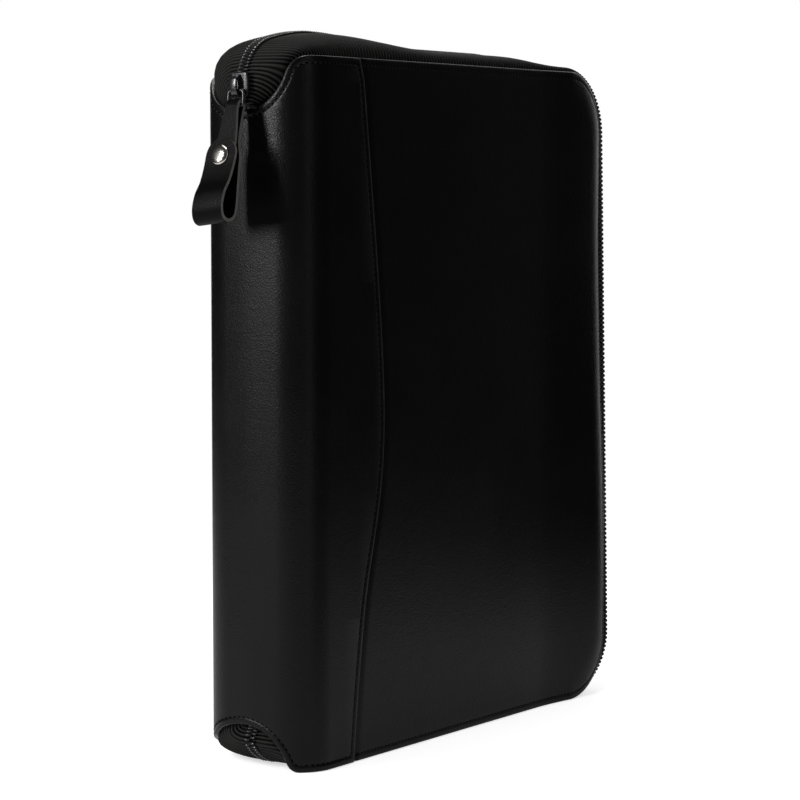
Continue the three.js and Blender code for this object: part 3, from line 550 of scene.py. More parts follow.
def leather_finish(name, dark, light, rough=0.33, grain=0.00011, shine=0.17):
    """Smooth calf: fine pebbled grain with faint creases between the pebbles."""
    f = Finish(name, Specular_IOR_Level=shine)
    patches = f.speckle(38, 3)
    pebbles = f.cells(1900, "SMOOTH_F1")
    creases = f.speckle(420, 4)
    f.set("Base Color", f.colour(patches, dark, light))
    f.set("Roughness", f.between(patches * 0.6 + creases * 0.4, rough - 0.07, rough + 0.09))
    return f.relief(pebbles * 0.8 + creases * 0.5, grain, 0.8)


def edge_finish():
    """Burnished edge of the leather, rubbed to a shine."""
    f = Finish("burnished_edge", Specular_IOR_Level=0.5)
    rubbed = f.speckle(300, 3)
    f.set("Base Color", f.colour(rubbed, (0.006, 0.006, 0.006), (0.014, 0.013, 0.012)))
    f.set("Roughness", f.between(rubbed, 0.2, 0.34))
    return f.relief(f.speckle(1500, 3), 0.00004)


def hole_shade_finish():
    """Painted shade for the inside of a needle's prick: a black that reflects nothing."""
    f = Finish("painted_hole_shade", Roughness=1.0, Specular_IOR_Level=0.0)
    f.set("Base Color", f.colour(f.speckle(900), (0.0006, 0.0006, 0.0006), (0.0012, 0.0012, 0.0012)))
    return f.material


def thread_finish():
    f = Finish("black_thread", Roughness=0.6, Specular_IOR_Level=0.3)
    f.set("Base Color", f.colour(f.speckle(900), (0.002, 0.002, 0.002), (0.007, 0.007, 0.007)))
    return f.relief(f.speckle(5200, 2), 0.00005)


def raw_edge_finish():
    f = Finish("cut_leather_edge", Roughness=0.7)
    f.set("Base Color", f.colour(f.speckle(700, 3), (0.055, 0.052, 0.050), (0.11, 0.105, 0.10)))
    return f.relief(f.speckle(2600, 3), 0.00006)


def tape_finish_with_painted_rib_shade():
    """Zipper tape with painted shade: near black in the grooves between its ribs, lighter on their crests."""
    f = Finish("ribbed_tape_painted_shade", Specular_IOR_Level=0.13)
    yarn = f.speckle(2600, 2)
    # The rib attribute is the mask of the painted shade: one on each crest, nothing in the grooves.
    crest = Amount(f, f.node("ShaderNodeAttribute", {"attribute_name": "rib"}).outputs["Fac"])
    lit = crest * crest * crest * 0.9 + yarn * 0.1
    f.set("Base Color", f.colour(lit, (0.0003, 0.0003, 0.0003), (0.019, 0.018, 0.017)))
    f.set("Roughness", f.between(yarn, 0.5, 0.75))
    return f.relief(yarn + f.cells(3400), 0.00008)


def nylon_finish():
    # Black nylon, its base colour lightened as a painted highlight on the coil's knuckles.
    f = Finish("zipper_nylon", Specular_IOR_Level=1.0)
    f.set("Base Color", f.colour(f.speckle(600), (0.02, 0.02, 0.02), (0.045, 0.045, 0.045)))
    f.set("Roughness", f.between(f.speckle(1400), 0.14, 0.24))
    return f.relief(f.speckle(3000), 0.00002)


def enamel_finish():
    f = Finish("black_enamel", Specular_IOR_Level=0.6)
    f.set("Base Color", f.colour(f.speckle(500, 3), (0.004, 0.004, 0.005), (0.010, 0.010, 0.011)))
    f.set("Roughness", f.between(f.speckle(900, 3), 0.16, 0.32))
    return f.relief(f.speckle(1200, 2), 0.00002)


def metal_finish(name, light, dark, low, high, grain):
    f = Finish(name, Metallic=1.0)
    wear = f.speckle(grain, 4)
    f.set("Base Color", f.colour(wear, light, dark))
    f.set("Roughness", f.between(f.speckle(grain * 2.3, 3), low, high))
    return f.relief(wear, 0.00001)


def lining_finish():
    f = Finish("lining_cloth", Specular_IOR_Level=0.3)
    weave = f.cells(1700)
    shade = weave + f.speckle(120, 3) * 0.4
    f.set("Base Color", f.colour(shade, (0.009, 0.009, 0.010), (0.022, 0.021, 0.021)))
    f.set("Roughness", f.between(weave, 0.55, 0.8))
    return f.relief(weave, 0.00008)


def board_finish():
    f = Finish("grey_board", Roughness=0.85)
    f.set("Base Color", f.colour(f.speckle(700, 4), (0.16, 0.15, 0.14), (0.26, 0.25, 0.23)))
    return f.relief(f.speckle(1500, 4), 0.00005)


leather = leather_finish("black_leather", (0.0011, 0.0011, 0.0012), (0.0024, 0.0023, 0.0022))
strap_leather = leather_finish(
    "strap_leather", (0.0009, 0.0008, 0.0008), (0.0019, 0.0017, 0.0016), rough=0.4, shine=0.055)
burnished_edge = edge_finish()
painted_hole_shade = hole_shade_finish()
thread = thread_finish()
raw_edge = raw_edge_finish()
tape_cloth_with_painted_shade = tape_finish_with_painted_rib_shade()
nylon = nylon_finish()
enamel = enamel_finish()
nickel = metal_finish("rivet_nickel", (0.66, 0.63, 0.58), (0.50, 0.48, 0.44), 0.12, 0.24, 700)
steel = metal_finish("ring_steel", (0.62, 0.62, 0.62), (0.46, 0.46, 0.46), 0.14, 0.28, 400)
lining = lining_finish()
board = board_finish()

# Leather of the spine and covers

ROLLED_EDGE = [(0, -0.85), (0.12, -0.45), (0.35, -0.16), (0.8, 0), (1.5, 0.07), (2.15, 0.0),
               (2.6, -0.26), (3.05, -0.02), (3.4, 0.05)]
FRONT_HINGE = (at(0, -SPINE_FLAT, 0), at(SPINE_RADIUS, -HALF_DEPTH, 0))
BACK_HINGE = (at(0, SPINE_FLAT, 0), at(SPINE_RADIUS, HALF_DEPTH, 0))
FRONT_INNER_HINGE = (at(INSIDE, -SPINE_FLAT, 0), at(SPINE_RADIUS, INSIDE - HALF_DEPTH, 0))
BACK_INNER_HINGE = (at(INSIDE, SPINE_FLAT, 0), at(SPINE_RADIUS, HALF_DEPTH - INSIDE, 0))
HINGE_SCORES = spaced(-CROWN_REACH, CROWN_REACH, 1.6) + spaced(CROWN_REACH, COVER_START, 1.1)[1:]
HINGE_SCORES += [-u for u in spaced(CROWN_REACH, COVER_START, 1.1)[1:]]
FORE_SCORES = [distance_at(x) for x in spaced(COVER_WIDTH - FORE_EDGE_RUN, COVER_WIDTH - 0.4, 1.7)]
COVER_SCORES = [distance_at(x) for x in spaced(22, COVER_WIDTH - FORE_EDGE_RUN - 8, 9)]
HEIGHT_SCORES = (spaced(0, CORNER_RADIUS, 3) + spaced(CORNER_RADIUS, COVER_HEIGHT - CORNER_RADIUS, 9)[1:-1]
                 + spaced(COVER_HEIGHT - CORNER_RADIUS, COVER_HEIGHT, 3))[1:-1]


def near_seam(u, z):
    """Distance of a place on the front from the seam, over the panel more than nothing."""
    return -u - distance_at(seam_at(z))


def build_leather():
    outline = wrap_outline()
    scores = HINGE_SCORES + FORE_SCORES + COVER_SCORES + [-u for u in COVER_SCORES[:5]]

    def under(u, z):
        thin = smooth_step(*STRIP_THINS, abs(near_seam(u, z))) if u < -COVER_START else 0
        return lerp(-LEATHER, -STRIP_EDGE, thin)

    row = stitch_row(outline, STITCH_INSET, lambda u, z: True)
    sides = (("front_wrap", False, "front_cover", FRONT_HINGE, ("spine_leather", "front_strip_leather")),
             ("back_wrap", True, "back_cover", BACK_HINGE, ("back_cover_leather",)))
    for name, back, cover, hinge, nodes in sides:
        bm = kept_side(cut_sheet(outline, ROLLED_EDGE, scores, HEIGHT_SCORES), SPINE_SPLIT, back)
        finished_sheet(thickened(bm, under), outside)
        places = [(p, run) for p, run in row if (p.x > SPINE_SPLIT) == back]
        burnish(bm, 2)
        joined(bm, stitches(places, outside), 1)
        # Dark beads of painted shade stand for the needle holes.
        joined(bm, shade_beads_for_holes(places, outside), 3)
        wrap = piece(bm, name, leather, thread, burnished_edge, painted_hole_shade)
        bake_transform(wrap)
        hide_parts(*nodes)

    outline = panel_outline()

    def panel_rule(u, z, height):
        sunk = lerp(PANEL_SUNK, PANEL_STEP, smooth_step(*PANEL_DIPS, near_seam(u, z)))
        return outside(u, z, height - sunk)

    scores = [-u for u in FORE_SCORES + COVER_SCORES]
    edge = [(distance, height * 0.8) for distance, height in ROLLED_EDGE]
    bm = cut_sheet(outline, edge, scores, HEIGHT_SCORES)
    seam_scores(bm)
    finished_sheet(thickened(bm, lambda u, z: -PANEL_LEATHER), panel_rule)
    row = stitch_row(outline, STITCH_INSET, lambda u, z: near_seam(u, z) > PANEL_STITCH_CLEAR)
    burnish(bm, 2)
    joined(bm, stitches(row, panel_rule), 1)
    # Dark beads of painted shade stand for the needle holes.
    joined(bm, shade_beads_for_holes(row, panel_rule), 3)
    panel = piece(bm, "front_panel", leather, thread, burnished_edge, painted_hole_shade)
    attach(panel, "front_cover")
    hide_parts("front_panel_leather")


def seam_scores(bm):
    """Scores the panel along the seam, so that it can dip under the strip."""
    for vert in bm.verts:
        vert.co.x += distance_at(seam_at(vert.co.y))
    for offset in SEAM_SCORES:
        scored(bm, (offset, 0, 0), (1, 0, 0))
    for vert in bm.verts:
        vert.co.x -= distance_at(seam_at(vert.co.y))


build_leather()

# Zipper. A station has the coil, the tape at the leather's edge and the tape's tucked end

def on_arc(centre, radius, angle):
    return centre[0] - radius * cos(angle), centre[1] + radius * sin(angle)


def head_line():
    """The coil's middle from its end at the spine's top, round the slider's arc to the crest."""
    centre = (SLIDER_ARC - COIL_PROUD, COVER_HEIGHT - SLIDER_BELOW_TOP)
    line = [(-COIL_PROUD, lerp(COVER_HEIGHT - COIL_TOP_END, centre[1], i / 8)) for i in range(8)]
    line += [on_arc(centre, SLIDER_ARC, SLIDER_TURN * i / 40) for i in range(41)]
    x, z = line[-1]
    top = COVER_HEIGHT + CREST_HIGH
    radius = (top - z) / (1 - sin(SLIDER_TURN))
    middle = (x + radius * cos(SLIDER_TURN), top - radius)
    return line + [on_arc(middle, radius, lerp(SLIDER_TURN, pi / 2, i / 30)) for i in range(1, 31)]


def foot_line():
    """The coil's middle from its end at the spine's foot, round to the run along the floor."""
    height = FLOOR_RISE + FOOT_ARC
    start = asin((height - FOOT_END) / FOOT_ARC)
    centre = (FOOT_ARC * cos(start) - FOOT_PROUD, height)
    line = []
    for i in range(41):
        angle = lerp(start, pi / 2, i / 40)
        x, z = on_arc(centre, FOOT_ARC, -angle)
        line.append((x + FOOT_END_SHIFT * smooth_step(FOOT_SHIFT_FROM, start, angle), z))
    return line + [(lerp(line[-1][0], FOOT_LINE_END, i / 12), FLOOR_RISE) for i in range(1, 13)]


def scoop_stations(line, scoop, heights, side):
    """Stations over a scoop, where the tape's edge goes round the hinge as the coil goes along its line."""
    lengths = [0]
    for (x0, z0), (x1, z1) in zip(line, line[1:]):
        lengths.append(lengths[-1] + hypot(x1 - x0, z1 - z0))
    end = distance_at(line[-1][0])
    stations = []
    for coil, length in zip(line, lengths):
        distance = lerp(TAPE_INNER_EDGE, end, length / lengths[-1])
        x, y = wrap_point(distance, TAPE_DEPTH)
        rim, tucked = heights(scoop_depth(-side * distance, scoop))
        stations.append(((coil[0], 0, coil[1]), (x, y, rim), (x, y, tucked)))
    return stations


def edge_station(point, outward, bulge, rise):
    """A station on the covers' edge, with the coil at the bulge's height over it."""
    def place(reach):
        x, z = point[0] + outward[0] * reach, point[1] + outward[1] * reach
        return x, TAPE_DEPTH - HALF_DEPTH + fore_edge_bend(x, z), z
    x, _, z = place(bulge)
    return (x, 0, z), place(rise), place(-TAPE_TUCK)


def ease(share):
    return (1 - cos(pi * share)) / 2


def zipper_stations(side):
    """The whole zipper, from the spine's top round the fore edge to the spine's foot."""
    head = head_line()

    def head_heights(depth):
        rim = COVER_HEIGHT - depth + TAPE_RISE
        return rim, rim - TAPE_TUCK

    def foot_heights(depth):
        rim = depth - TAPE_RISE
        return max(FLOOR_RISE, rim), rim + TAPE_TUCK

    line = scoop_stations(head, TOP_SCOOP, head_heights, side)
    crest_x, corner_x = head[-1][0], COVER_WIDTH - CORNER_RADIUS
    for i in range(1, 61):
        x = lerp(crest_x, corner_x, i / 60)
        settled = min(1, (x - crest_x) / (CREST_SETTLES - crest_x))
        crest = lerp(CREST_HIGH, CREST_LOW, ease(settled))
        bulge = lerp(crest, FORE_EDGE_BULGE, smooth_step(CREST_FALLS, corner_x, x))
        line.append(edge_station((x, COVER_HEIGHT), (0, 1), bulge, TAPE_RISE))
    for i in range(1, 61):
        turn = pi / 2 * (1 - i / 30)
        outward = (cos(turn), sin(turn))
        middle = CORNER_RADIUS if turn < 0 else COVER_HEIGHT - CORNER_RADIUS
        spot = (corner_x + CORNER_RADIUS * outward[0], middle + CORNER_RADIUS * outward[1])
        if i == 30:
            line.append(edge_station(spot, outward, FORE_EDGE_BULGE, TAPE_RISE))
            spot = (spot[0], CORNER_RADIUS)
        under = ease(max(0, -turn) / (pi / 2))
        bulge = lerp(FORE_EDGE_BULGE, -FLOOR_RISE, under)
        line.append(edge_station(spot, outward, bulge, lerp(TAPE_RISE, -FLOOR_RISE, under)))
    for i in range(1, 13):
        x = lerp(corner_x, FOOT_LINE_END, i / 12)
        line.append(edge_station((x, 0), (0, -1), -FLOOR_RISE, -FLOOR_RISE))
    foot = scoop_stations(foot_line(), FOOT_SCOOP, foot_heights, side)[:-1]
    line += foot[::-1]
    # Both ends go in behind the leather
    lead = [((x, 0, z), *line[0][1:]) for x, z in HEAD_LEAD]
    tail = [((x, 0, z), *line[-1][1:]) for x, z in FOOT_TAIL]
    return lead + line + tail


class Line:
    """A line of stations, read by the length along its first points."""

    def __init__(self, stations):
        self.stations = [tuple(Vector(p) for p in station) for station in stations]
        self.lengths = [0]
        for one, two in zip(self.stations, self.stations[1:]):
            self.lengths.append(self.lengths[-1] + (two[0] - one[0]).length)
        self.total = self.lengths[-1]

    def station(self, length):
        i = min(len(self.lengths) - 2, max(0, bisect_right(self.lengths, length) - 1))
        run = self.lengths[i + 1] - self.lengths[i]
        share = (length - self.lengths[i]) / run if run else 0
        return [a + (b - a) * share for a, b in zip(self.stations[i], self.stations[i + 1])]

    def outward(self, length):
        """Square to the line in the mid-plane, away from the pages."""
        run = self.station(length + 0.4)[0] - self.station(length - 0.4)[0]
        return Vector((-run.z, 0, run.x)).normalized()


ZIPPER = Line(zipper_stations(1))
BACK_ZIPPER = Line(zipper_stations(-1))
ZIPPER_SIDES = ((1, "front", ZIPPER, FRONT_HINGE), (-1, "back", BACK_ZIPPER, BACK_HINGE))


def rib_lengths(total):
    """Rows along a gusset, four to a rib: the ribs crowd together where the tape is gathered at its ends."""
    lengths = [0]
    while lengths[-1] < total:
        length = lengths[-1]
        open_run = smooth_step(*GATHERED_HEAD, length) * smooth_step(*GATHERED_FOOT, total - length)
        lengths.append(length + lerp(GATHERED_PITCH, RIB_PITCH, open_run) / 4)
    return lengths[:-1] + [total]


def tape_point(zipper, side, length, column):
    """A point of a gusset: tucked end, leather's edge, a full quarter oval, then under the coil."""
    coil, rim, tucked = zipper.station(length)
    if column <= 1:
        return tucked + (rim - tucked) * column
    turn = pi / 2 * min(1, column - 1)
    fullness = lerp(GUSSET_FULLNESS[side], FORE_FULLNESS, smooth_step(*FORE_FULL, coil.x))
    up, down = sin(turn) ** fullness, max(0, cos(turn)) ** fullness
    point = Vector((lerp(rim.x, coil.x, up), lerp(-TAPE_INNER_EDGE, rim.y, down), lerp(rim.z, coil.z, up)))
    if column > 2:
        point.y = lerp(-TAPE_INNER_EDGE, -0.5, column - 2)
        point -= zipper.outward(length) * UNDER_COIL * (column - 2)
    return point


def build_gussets():
    columns = len(TAPE_COLUMNS) - 1
    for side, name, zipper, hinge in ZIPPER_SIDES:
        lengths = rib_lengths(zipper.total)
        rows = len(lengths) - 1
        ground = [[tape_point(zipper, side, length, column) for column in TAPE_COLUMNS] for length in lengths]
        bm = bmesh.new()
        bmesh.ops.create_grid(bm, x_segments=rows, y_segments=columns, size=0.5)
        thickened(bm, lambda a, b: -1)
        # The rib attribute, one on the crests and nothing in the grooves, drives the tape's painted shade.
        crest = bm.verts.layers.float.new("rib")
        for vert in bm.verts:
            vert[crest] = max(0, RIB_WAVE[round((vert.co.x + 0.5) * rows) % 4])

        def rule(a, b, height):
            row, j = round((a + 0.5) * rows), round((b + 0.5) * columns)
            along = ground[min(rows, row + 2)][j] - ground[max(0, row - 2)][j]
            across = ground[row][min(columns, j + 1)] - ground[row][max(0, j - 1)]
            off = TAPE_HALF + RIB_DEPTH * RIB_WAVE[row % 4] if height > -0.5 else -TAPE_HALF
            point = ground[row][j] + along.cross(across).normalized() * off
            point.y *= side
            return point

        shaped(bm, rule)
        tape = piece(bm, f"{name}_gusset", tape_cloth_with_painted_shade, crease=80)
        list(hinge)
        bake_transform(tape)
        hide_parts(f"{name}_zipper_tape", f"{name}_tape_top_end", f"{name}_tape_foot_end")


def build_coils():
    """Two rows of bars, half a pitch apart, each with a knuckle at its outer end. The bars' dark thread
    finish is painted shade between the glints, and the knuckles' nylon is black nylon lightened as a painted
    highlight.
    """
    for side, name, _, hinge in ZIPPER_SIDES:
        bars, knuckles = [], []
        for i in range(int((ZIPPER.total - COIL_SHORTER) / TOOTH_PITCH)):
            length = COIL_STARTS + (i + (0 if side > 0 else 0.5)) * TOOTH_PITCH
            out = ZIPPER.outward(length)
            raised = lerp(*COIL_RAISED, smooth_step(*COIL_RISES, length)) * smooth_step(*COIL_LEVELS, out.z)
            place = Matrix(((0, 1, 0), (out.z, 0, -out.x), out)).transposed().to_4x4()
            place.translation = ZIPPER.station(length)[0] + Vector((0, -side * ROW_OFFSET, 0)) + out * raised
            end = Matrix.Translation((-side * KNUCKLE_OUT, 0, KNUCKLE_UP))
            bars.append(place @ Matrix.Diagonal(TOOTH_BAR))
            knuckles.append(place @ end @ Matrix.Diagonal(TOOTH_KNUCKLE))
        # The dark thread finish on the bars is painted shade; the lighter nylon on the knuckles is a painted
        # highlight.
        bm = joined(beads(bead(8, 6), knuckles), beads(bead(6, 4), bars), 1)
        coil = piece(bm, f"{name}_coil", nylon, thread)
        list(hinge)
        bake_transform(coil)
        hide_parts(f"{name}_zipper_coil", f"{name}_coil_top_end", f"{name}_coil_foot_end")


build_gussets()
build_coils()

# Slider and pull. The slider's own frame has its outside at -X

SLIDER_AT = Matrix.Translation((-COIL_PROUD, 0, COVER_HEIGHT - SLIDER_BELOW_TOP))
SLIDER_INSIDE, SLIDER_FACE, SLIDER_HALF, SLIDER_DOME = 1.65, 2.45, 4.6, 0.25
RAIL_BAR, RAIL_IN, RAIL_OUT = (0.7, 1.5, 0.3), 0.45, 3.45
POST_SIZE, POST_AT = (4.2, 0.7, 2), (0, 0, -3.2)
BRIDGE_BAR = (2.6, 0.85, 0.3)
BRIDGE = [(-2.1, 3.2), (-3.4, 3.25), (-4.55, 2.6), (-5.0, 1.3), (-5.05, -0.6),
          (-4.75, -2.2), (-3.9, -3.2), (-2.2, -3.55)]
PULL_AT = Matrix.Translation((-6.5, 0, 233.2))
BAIL_LEAN, BAIL_WIRE, BAIL_WIDTH, BAIL_LENGTH, BAIL_BEND = radians(4.6), 1.2, 6.4, 5.2, 1.3
STRAP_AT = (PULL_AT @ Matrix.Translation((-BAIL_LENGTH * sin(BAIL_LEAN), 0, -BAIL_LENGTH * cos(BAIL_LEAN)))
            @ Matrix.Rotation(radians(2), 4, Vector((0.82, 0.57, 0)).normalized()))
STRAP_BAND = [(0, 0.3), (0.12, 0.48), (0.3, 0.6), (0.6, 0.65), (1.3, 0.62), (1.7, 0.65)]
STRAP_LEAN, STRAP, STRAP_WIDTH, TO_RIVET = radians(15), 1.3, 12.4, 18.2
NECK, NECK_LOW, LOOP_LENGTH, LOOP_DEPTH = 4.8, 7.4, 18, 7.6
RIVET, RIVET_DOME = 3.5, 1.3
STRAP_SKEW, STRAP_SKEWS = 0.15, (8, 26)
LAYER = STRAP + 0.2


def curved(points, steps=6):
    """A quadratic outline: corner points between ends, as (start, corner, end) runs."""
    line = []
    for (a, b, c) in points:
        line += [tuple(lerp(lerp(a[k], b[k], i / steps), lerp(b[k], c[k], i / steps), i / steps)
                       for k in (0, 1)) for i in range(steps)]
    return line


def slider_plate(width, tail, low, high, dome):
    """One plate of the slider, drawn in Y and Z, with its edges rounded and its middle raised."""
    half = SLIDER_HALF
    outline = apart(curved([
        ((-tail / 2, half), (-width / 2, half), (-width / 2, 0)),
        ((-width / 2, 0), (-width / 2, -half), (-tail / 4, -half)),
        ((tail / 4, -half), (width / 2, -half), (width / 2, 0)),
        ((width / 2, 0), (width / 2, half), (tail / 2, half))]), 0.05)
    if abs(outline[0][0] - tail / 2) > 0.1:
        outline.insert(0, (tail / 2, half))
    thick = high - low
    bm = cut_sheet(outline, [(0, 0.5 * thick), (0.1, 0.78 * thick), (0.3, 0.95 * thick),
                             (0.6, thick), (1.4, thick + dome)])
    thickened(bm, lambda a, b: 0)
    return shaped(bm, lambda a, b, height: Vector((-low - height if dome else low + height, a, b)))


def extruded(bm, edges):
    """Extrudes open edges, and gives the new points and the new open edges."""
    made = bmesh.ops.extrude_edge_only(bm, edges=edges)["geom"]
    return ([v for v in made if isinstance(v, bmesh.types.BMVert)],
            [e for e in made if isinstance(e, bmesh.types.BMEdge) and len(e.link_faces) == 1])


def swept(frames, ring):
    """A section carried along a run of frames: a ring is drawn once, and each step is an extrusion."""
    bm = bmesh.new()
    verts = [bm.verts.new(frames[0] @ Vector((a, b, 0))) for a, b in ring]
    edges = [bm.edges.new((verts[i - 1], verts[i])) for i in range(len(verts))]
    first = edges
    for before, after in zip(frames, frames[1:]):
        fresh, edges = extruded(bm, edges)
        bmesh.ops.transform(bm, matrix=after @ before.inverted(), verts=fresh)
    return bm, first, edges


def capped(bm, *rings):
    """Closes the open ends of a swept bar."""
    for ring in rings:
        bmesh.ops.holes_fill(bm, edges=ring, sides=0)
    bmesh.ops.recalc_face_normals(bm, faces=bm.faces)
    return bm


def side_frames(line, closed=False):
    """Frames along a line that lies in the X Z plane: their X is across (Y), their Y is square to the run."""
    frames = []
    for i, point in enumerate(line):
        before = line[(i - 1) % len(line)] if closed else line[max(0, i - 1)]
        after = line[(i + 1) % len(line)] if closed else line[min(len(line) - 1, i + 1)]
        run = Vector((after[0] - before[0], 0, after[1] - before[1])).normalized()
        across = Vector((0, 1, 0))
        frame_here = Matrix((across, run.cross(across), run)).transposed().to_4x4()
        frame_here.translation = Vector((point[0], 0, point[1]))
        frames.append(frame_here)
    return frames


def rounded_bar(width, thick, radius):
    """A bar's section with rounded corners."""
    a, b = width / 2 - radius, thick / 2 - radius
    return [(sx * a + radius * cos(t), sy * b + radius * sin(t))
            for sx, sy, start in ((1, 1, 0), (-1, 1, pi / 2), (-1, -1, pi), (1, -1, 3 * pi / 2))
            for t in (start, start + pi / 6, start + pi / 3, start + pi / 2)]


def build_slider():
    bm = slider_plate(8.2, 5.4, SLIDER_INSIDE, SLIDER_FACE, SLIDER_DOME)
    joined(bm, slider_plate(5.8, 5.8, SLIDER_INSIDE, SLIDER_FACE, 0))
    for side in (-1, 1):
        rail = [(-SLIDER_FACE + 0.35, 3.6), (-SLIDER_FACE + 0.3, 0), (-SLIDER_FACE + 0.35, -2.6)]
        ridge = capped(*swept(side_frames(through(rail, 5)), rounded_bar(*RAIL_BAR)))
        bmesh.ops.translate(ridge, verts=ridge.verts, vec=(RAIL_IN, side * RAIL_OUT, 0))
        joined(bm, ridge)
    post = bmesh.new()
    bmesh.ops.create_cube(post, size=1, matrix=Matrix.Translation(POST_AT) @ Matrix.Diagonal((*POST_SIZE, 1)))
    joined(bm, post)
    joined(bm, capped(*swept(side_frames(through(BRIDGE, 5)), rounded_bar(*BRIDGE_BAR))))
    bmesh.ops.recalc_face_normals(bm, faces=bm.faces)
    bmesh.ops.transform(bm, matrix=SLIDER_AT, verts=bm.verts)
    body = piece(bm, "slider", enamel, crease=40)
    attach(body, "slider")
    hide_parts("slider_body")


def build_bail():
    half, bend = BAIL_WIDTH / 2, BAIL_BEND
    line = []
    for y, z, start in ((half - bend, -bend, pi / 2), (half - bend, bend - BAIL_LENGTH, 0),
                        (bend - half, bend - BAIL_LENGTH, -pi / 2), (bend - half, -bend, pi)):
        angles = [start - pi / 2 * i / 6 for i in range(7)]
        line += [(y + bend * cos(a), z + bend * sin(a)) for a in angles]
    wire = [(BAIL_WIRE / 2 * cos(tau * i / 14), BAIL_WIRE / 2 * sin(tau * i / 14)) for i in range(14)]
    bm, first, last = swept(side_frames(line, closed=True), wire)
    bmesh.ops.bridge_loops(bm, edges=first + last)
    bmesh.ops.recalc_face_normals(bm, faces=bm.faces)
    turn = Matrix.Rotation(pi / 2, 4, "Z")
    bmesh.ops.transform(bm, matrix=PULL_AT @ Matrix.Rotation(BAIL_LEAN, 4, "Y") @ turn, verts=bm.verts)
    bail = piece(bm, "bail", enamel)
    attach(bail, "pull_bail")
    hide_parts("pull_bail")


def on_neck(along, out):
    """A place on the strap's straight part, in X and Z from the bail's bar."""
    lean, stand = sin(STRAP_LEAN), cos(STRAP_LEAN)
    return -along * lean - out * stand, -along * stand + out * lean


def strap_stations():
    """The strap's middle line from its round front end, down round the loop, up over the bail
    and back down: (x, z, half width)."""
    half, neck, low = STRAP_WIDTH / 2, NECK / 2, NECK_LOW / 2
    wrap = BAIL_WIRE / 2 + 0.3 + STRAP / 2
    front_top, back_top = on_neck(TO_RIVET + RIVET, 1.5 * LAYER), on_neck(TO_RIVET + RIVET, -LAYER / 2)
    fold_x, fold_z = back_top[0] - 1, back_top[1] - LOOP_LENGTH + LOOP_DEPTH / 2

    def in_loop(out, up):
        return fold_x - out * LOOP_DEPTH, fold_z + up, half

    curve = [
        (*on_neck(TO_RIVET, 1.5 * LAYER), half), (*front_top, half),
        (lerp(front_top[0], fold_x - LOOP_DEPTH, 0.35), lerp(front_top[1], fold_z, 0.35), half),
        in_loop(0.86, 0.3 * LOOP_LENGTH), in_loop(1, 0.02 * LOOP_LENGTH), in_loop(0.86, -0.36 * LOOP_DEPTH),
        in_loop(0.5, -0.52 * LOOP_DEPTH), in_loop(0.13, -0.36 * LOOP_DEPTH), in_loop(0, 0.02 * LOOP_LENGTH),
        (lerp(fold_x, back_top[0], 0.5), lerp(fold_z, back_top[1], 0.5), half), (*back_top, half),
        (*on_neck(TO_RIVET, -LAYER / 2), 0.92 * half), (*on_neck(TO_RIVET - half, -LAYER / 2 - 0.1), low),
        (*on_neck(wrap, -wrap), neck), (*on_neck(0, -wrap), neck),
        (*on_neck(-0.72 * wrap, -0.72 * wrap), neck),
        (*on_neck(-wrap, 0), neck), (*on_neck(-0.72 * wrap, 0.72 * wrap), neck), (*on_neck(0, wrap), neck),
        (*on_neck(wrap, wrap), neck), (*on_neck(TO_RIVET - half, LAYER / 2 + 0.1), low),
        (*on_neck(TO_RIVET + RIVET, LAYER / 2), low)]
    tip = [(*on_neck(TO_RIVET - half * cos(pi / 2 * i / 12), 1.5 * LAYER), half * sin(pi / 2 * i / 12))
           for i in range(1, 12)]
    return tip + centripetal(curve, 8)


def centripetal(points, steps):
    """A line through points whose weights follow the square root of their spacing."""
    padded = [tuple(2 * a - b for a, b in zip(points[0], points[1])), *points,
              tuple(2 * a - b for a, b in zip(points[-1], points[-2]))]
    line = []
    for i in range(len(points) - 1):
        p = [Vector(q) for q in padded[i:i + 4]]
        d = [max(1e-4, (b - a).length ** 0.5) for a, b in zip(p, p[1:])]
        one = ((p[1] - p[0]) / d[0] - (p[2] - p[0]) / (d[0] + d[1]) + (p[2] - p[1]) / d[1]) * d[1]
        two = ((p[2] - p[1]) / d[1] - (p[3] - p[1]) / (d[1] + d[2]) + (p[3] - p[2]) / d[2]) * d[1]
        for step in range(steps):
            t = step / steps
            line.append(tuple(p[1] + one * t + (3 * (p[2] - p[1]) - 2 * one - two) * t * t
                              + (2 * (p[1] - p[2]) + one + two) * t ** 3))
    return line + [tuple(points[-1])]


def build_strap():
    stations = strap_stations()
    line = Line([((x, 0, z), (w, 0, 0)) for x, z, w in stations])
    left = [(length, w[2]) for length, w in zip(line.lengths, stations)]
    outline = [(-0.15, 0)] + left + [(length, -w) for length, w in reversed(left)]
    bm = cut_sheet(outline, STRAP_BAND, spaced(0.4, line.total - 0.3, 0.55), (-2, 0, 2))
    thickened(bm, lambda a, b: -STRAP / 2)
    bm.normal_update()
    for face in bm.faces:
        if abs(face.normal.z) < 0.5:
            face.material_index = 1

    def rule(length, y, height):
        point = line.station(length)[0]
        skewed = STRAP_SKEW * smooth_step(*STRAP_SKEWS, -point.z)
        return point + line.outward(length) * height + Vector((0, y, -skewed * y))

    finished_sheet(bm, rule)
    bmesh.ops.transform(bm, matrix=STRAP_AT, verts=bm.verts)
    strap = piece(bm, "strap", strap_leather, raw_edge)
    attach(strap, "pull_strap")
    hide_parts("pull_strap")


def turned(profile, place, steps=40):
    """A piece turned about its X axis from its half section (outwards, radius)."""
    bm = bmesh.new()
    verts = [bm.verts.new((x, radius, 0)) for x, radius in profile]
    edges = [bm.edges.new(pair) for pair in zip(verts, verts[1:])]
    bmesh.ops.spin(bm, geom=verts + edges, cent=(0, 0, 0), axis=(1, 0, 0), angle=tau, steps=steps,
                   use_merge=True)
    bmesh.ops.remove_doubles(bm, verts=bm.verts, dist=1e-4)
    bmesh.ops.recalc_face_normals(bm, faces=bm.faces)
    bmesh.ops.transform(bm, matrix=place, verts=bm.verts)
    return bm


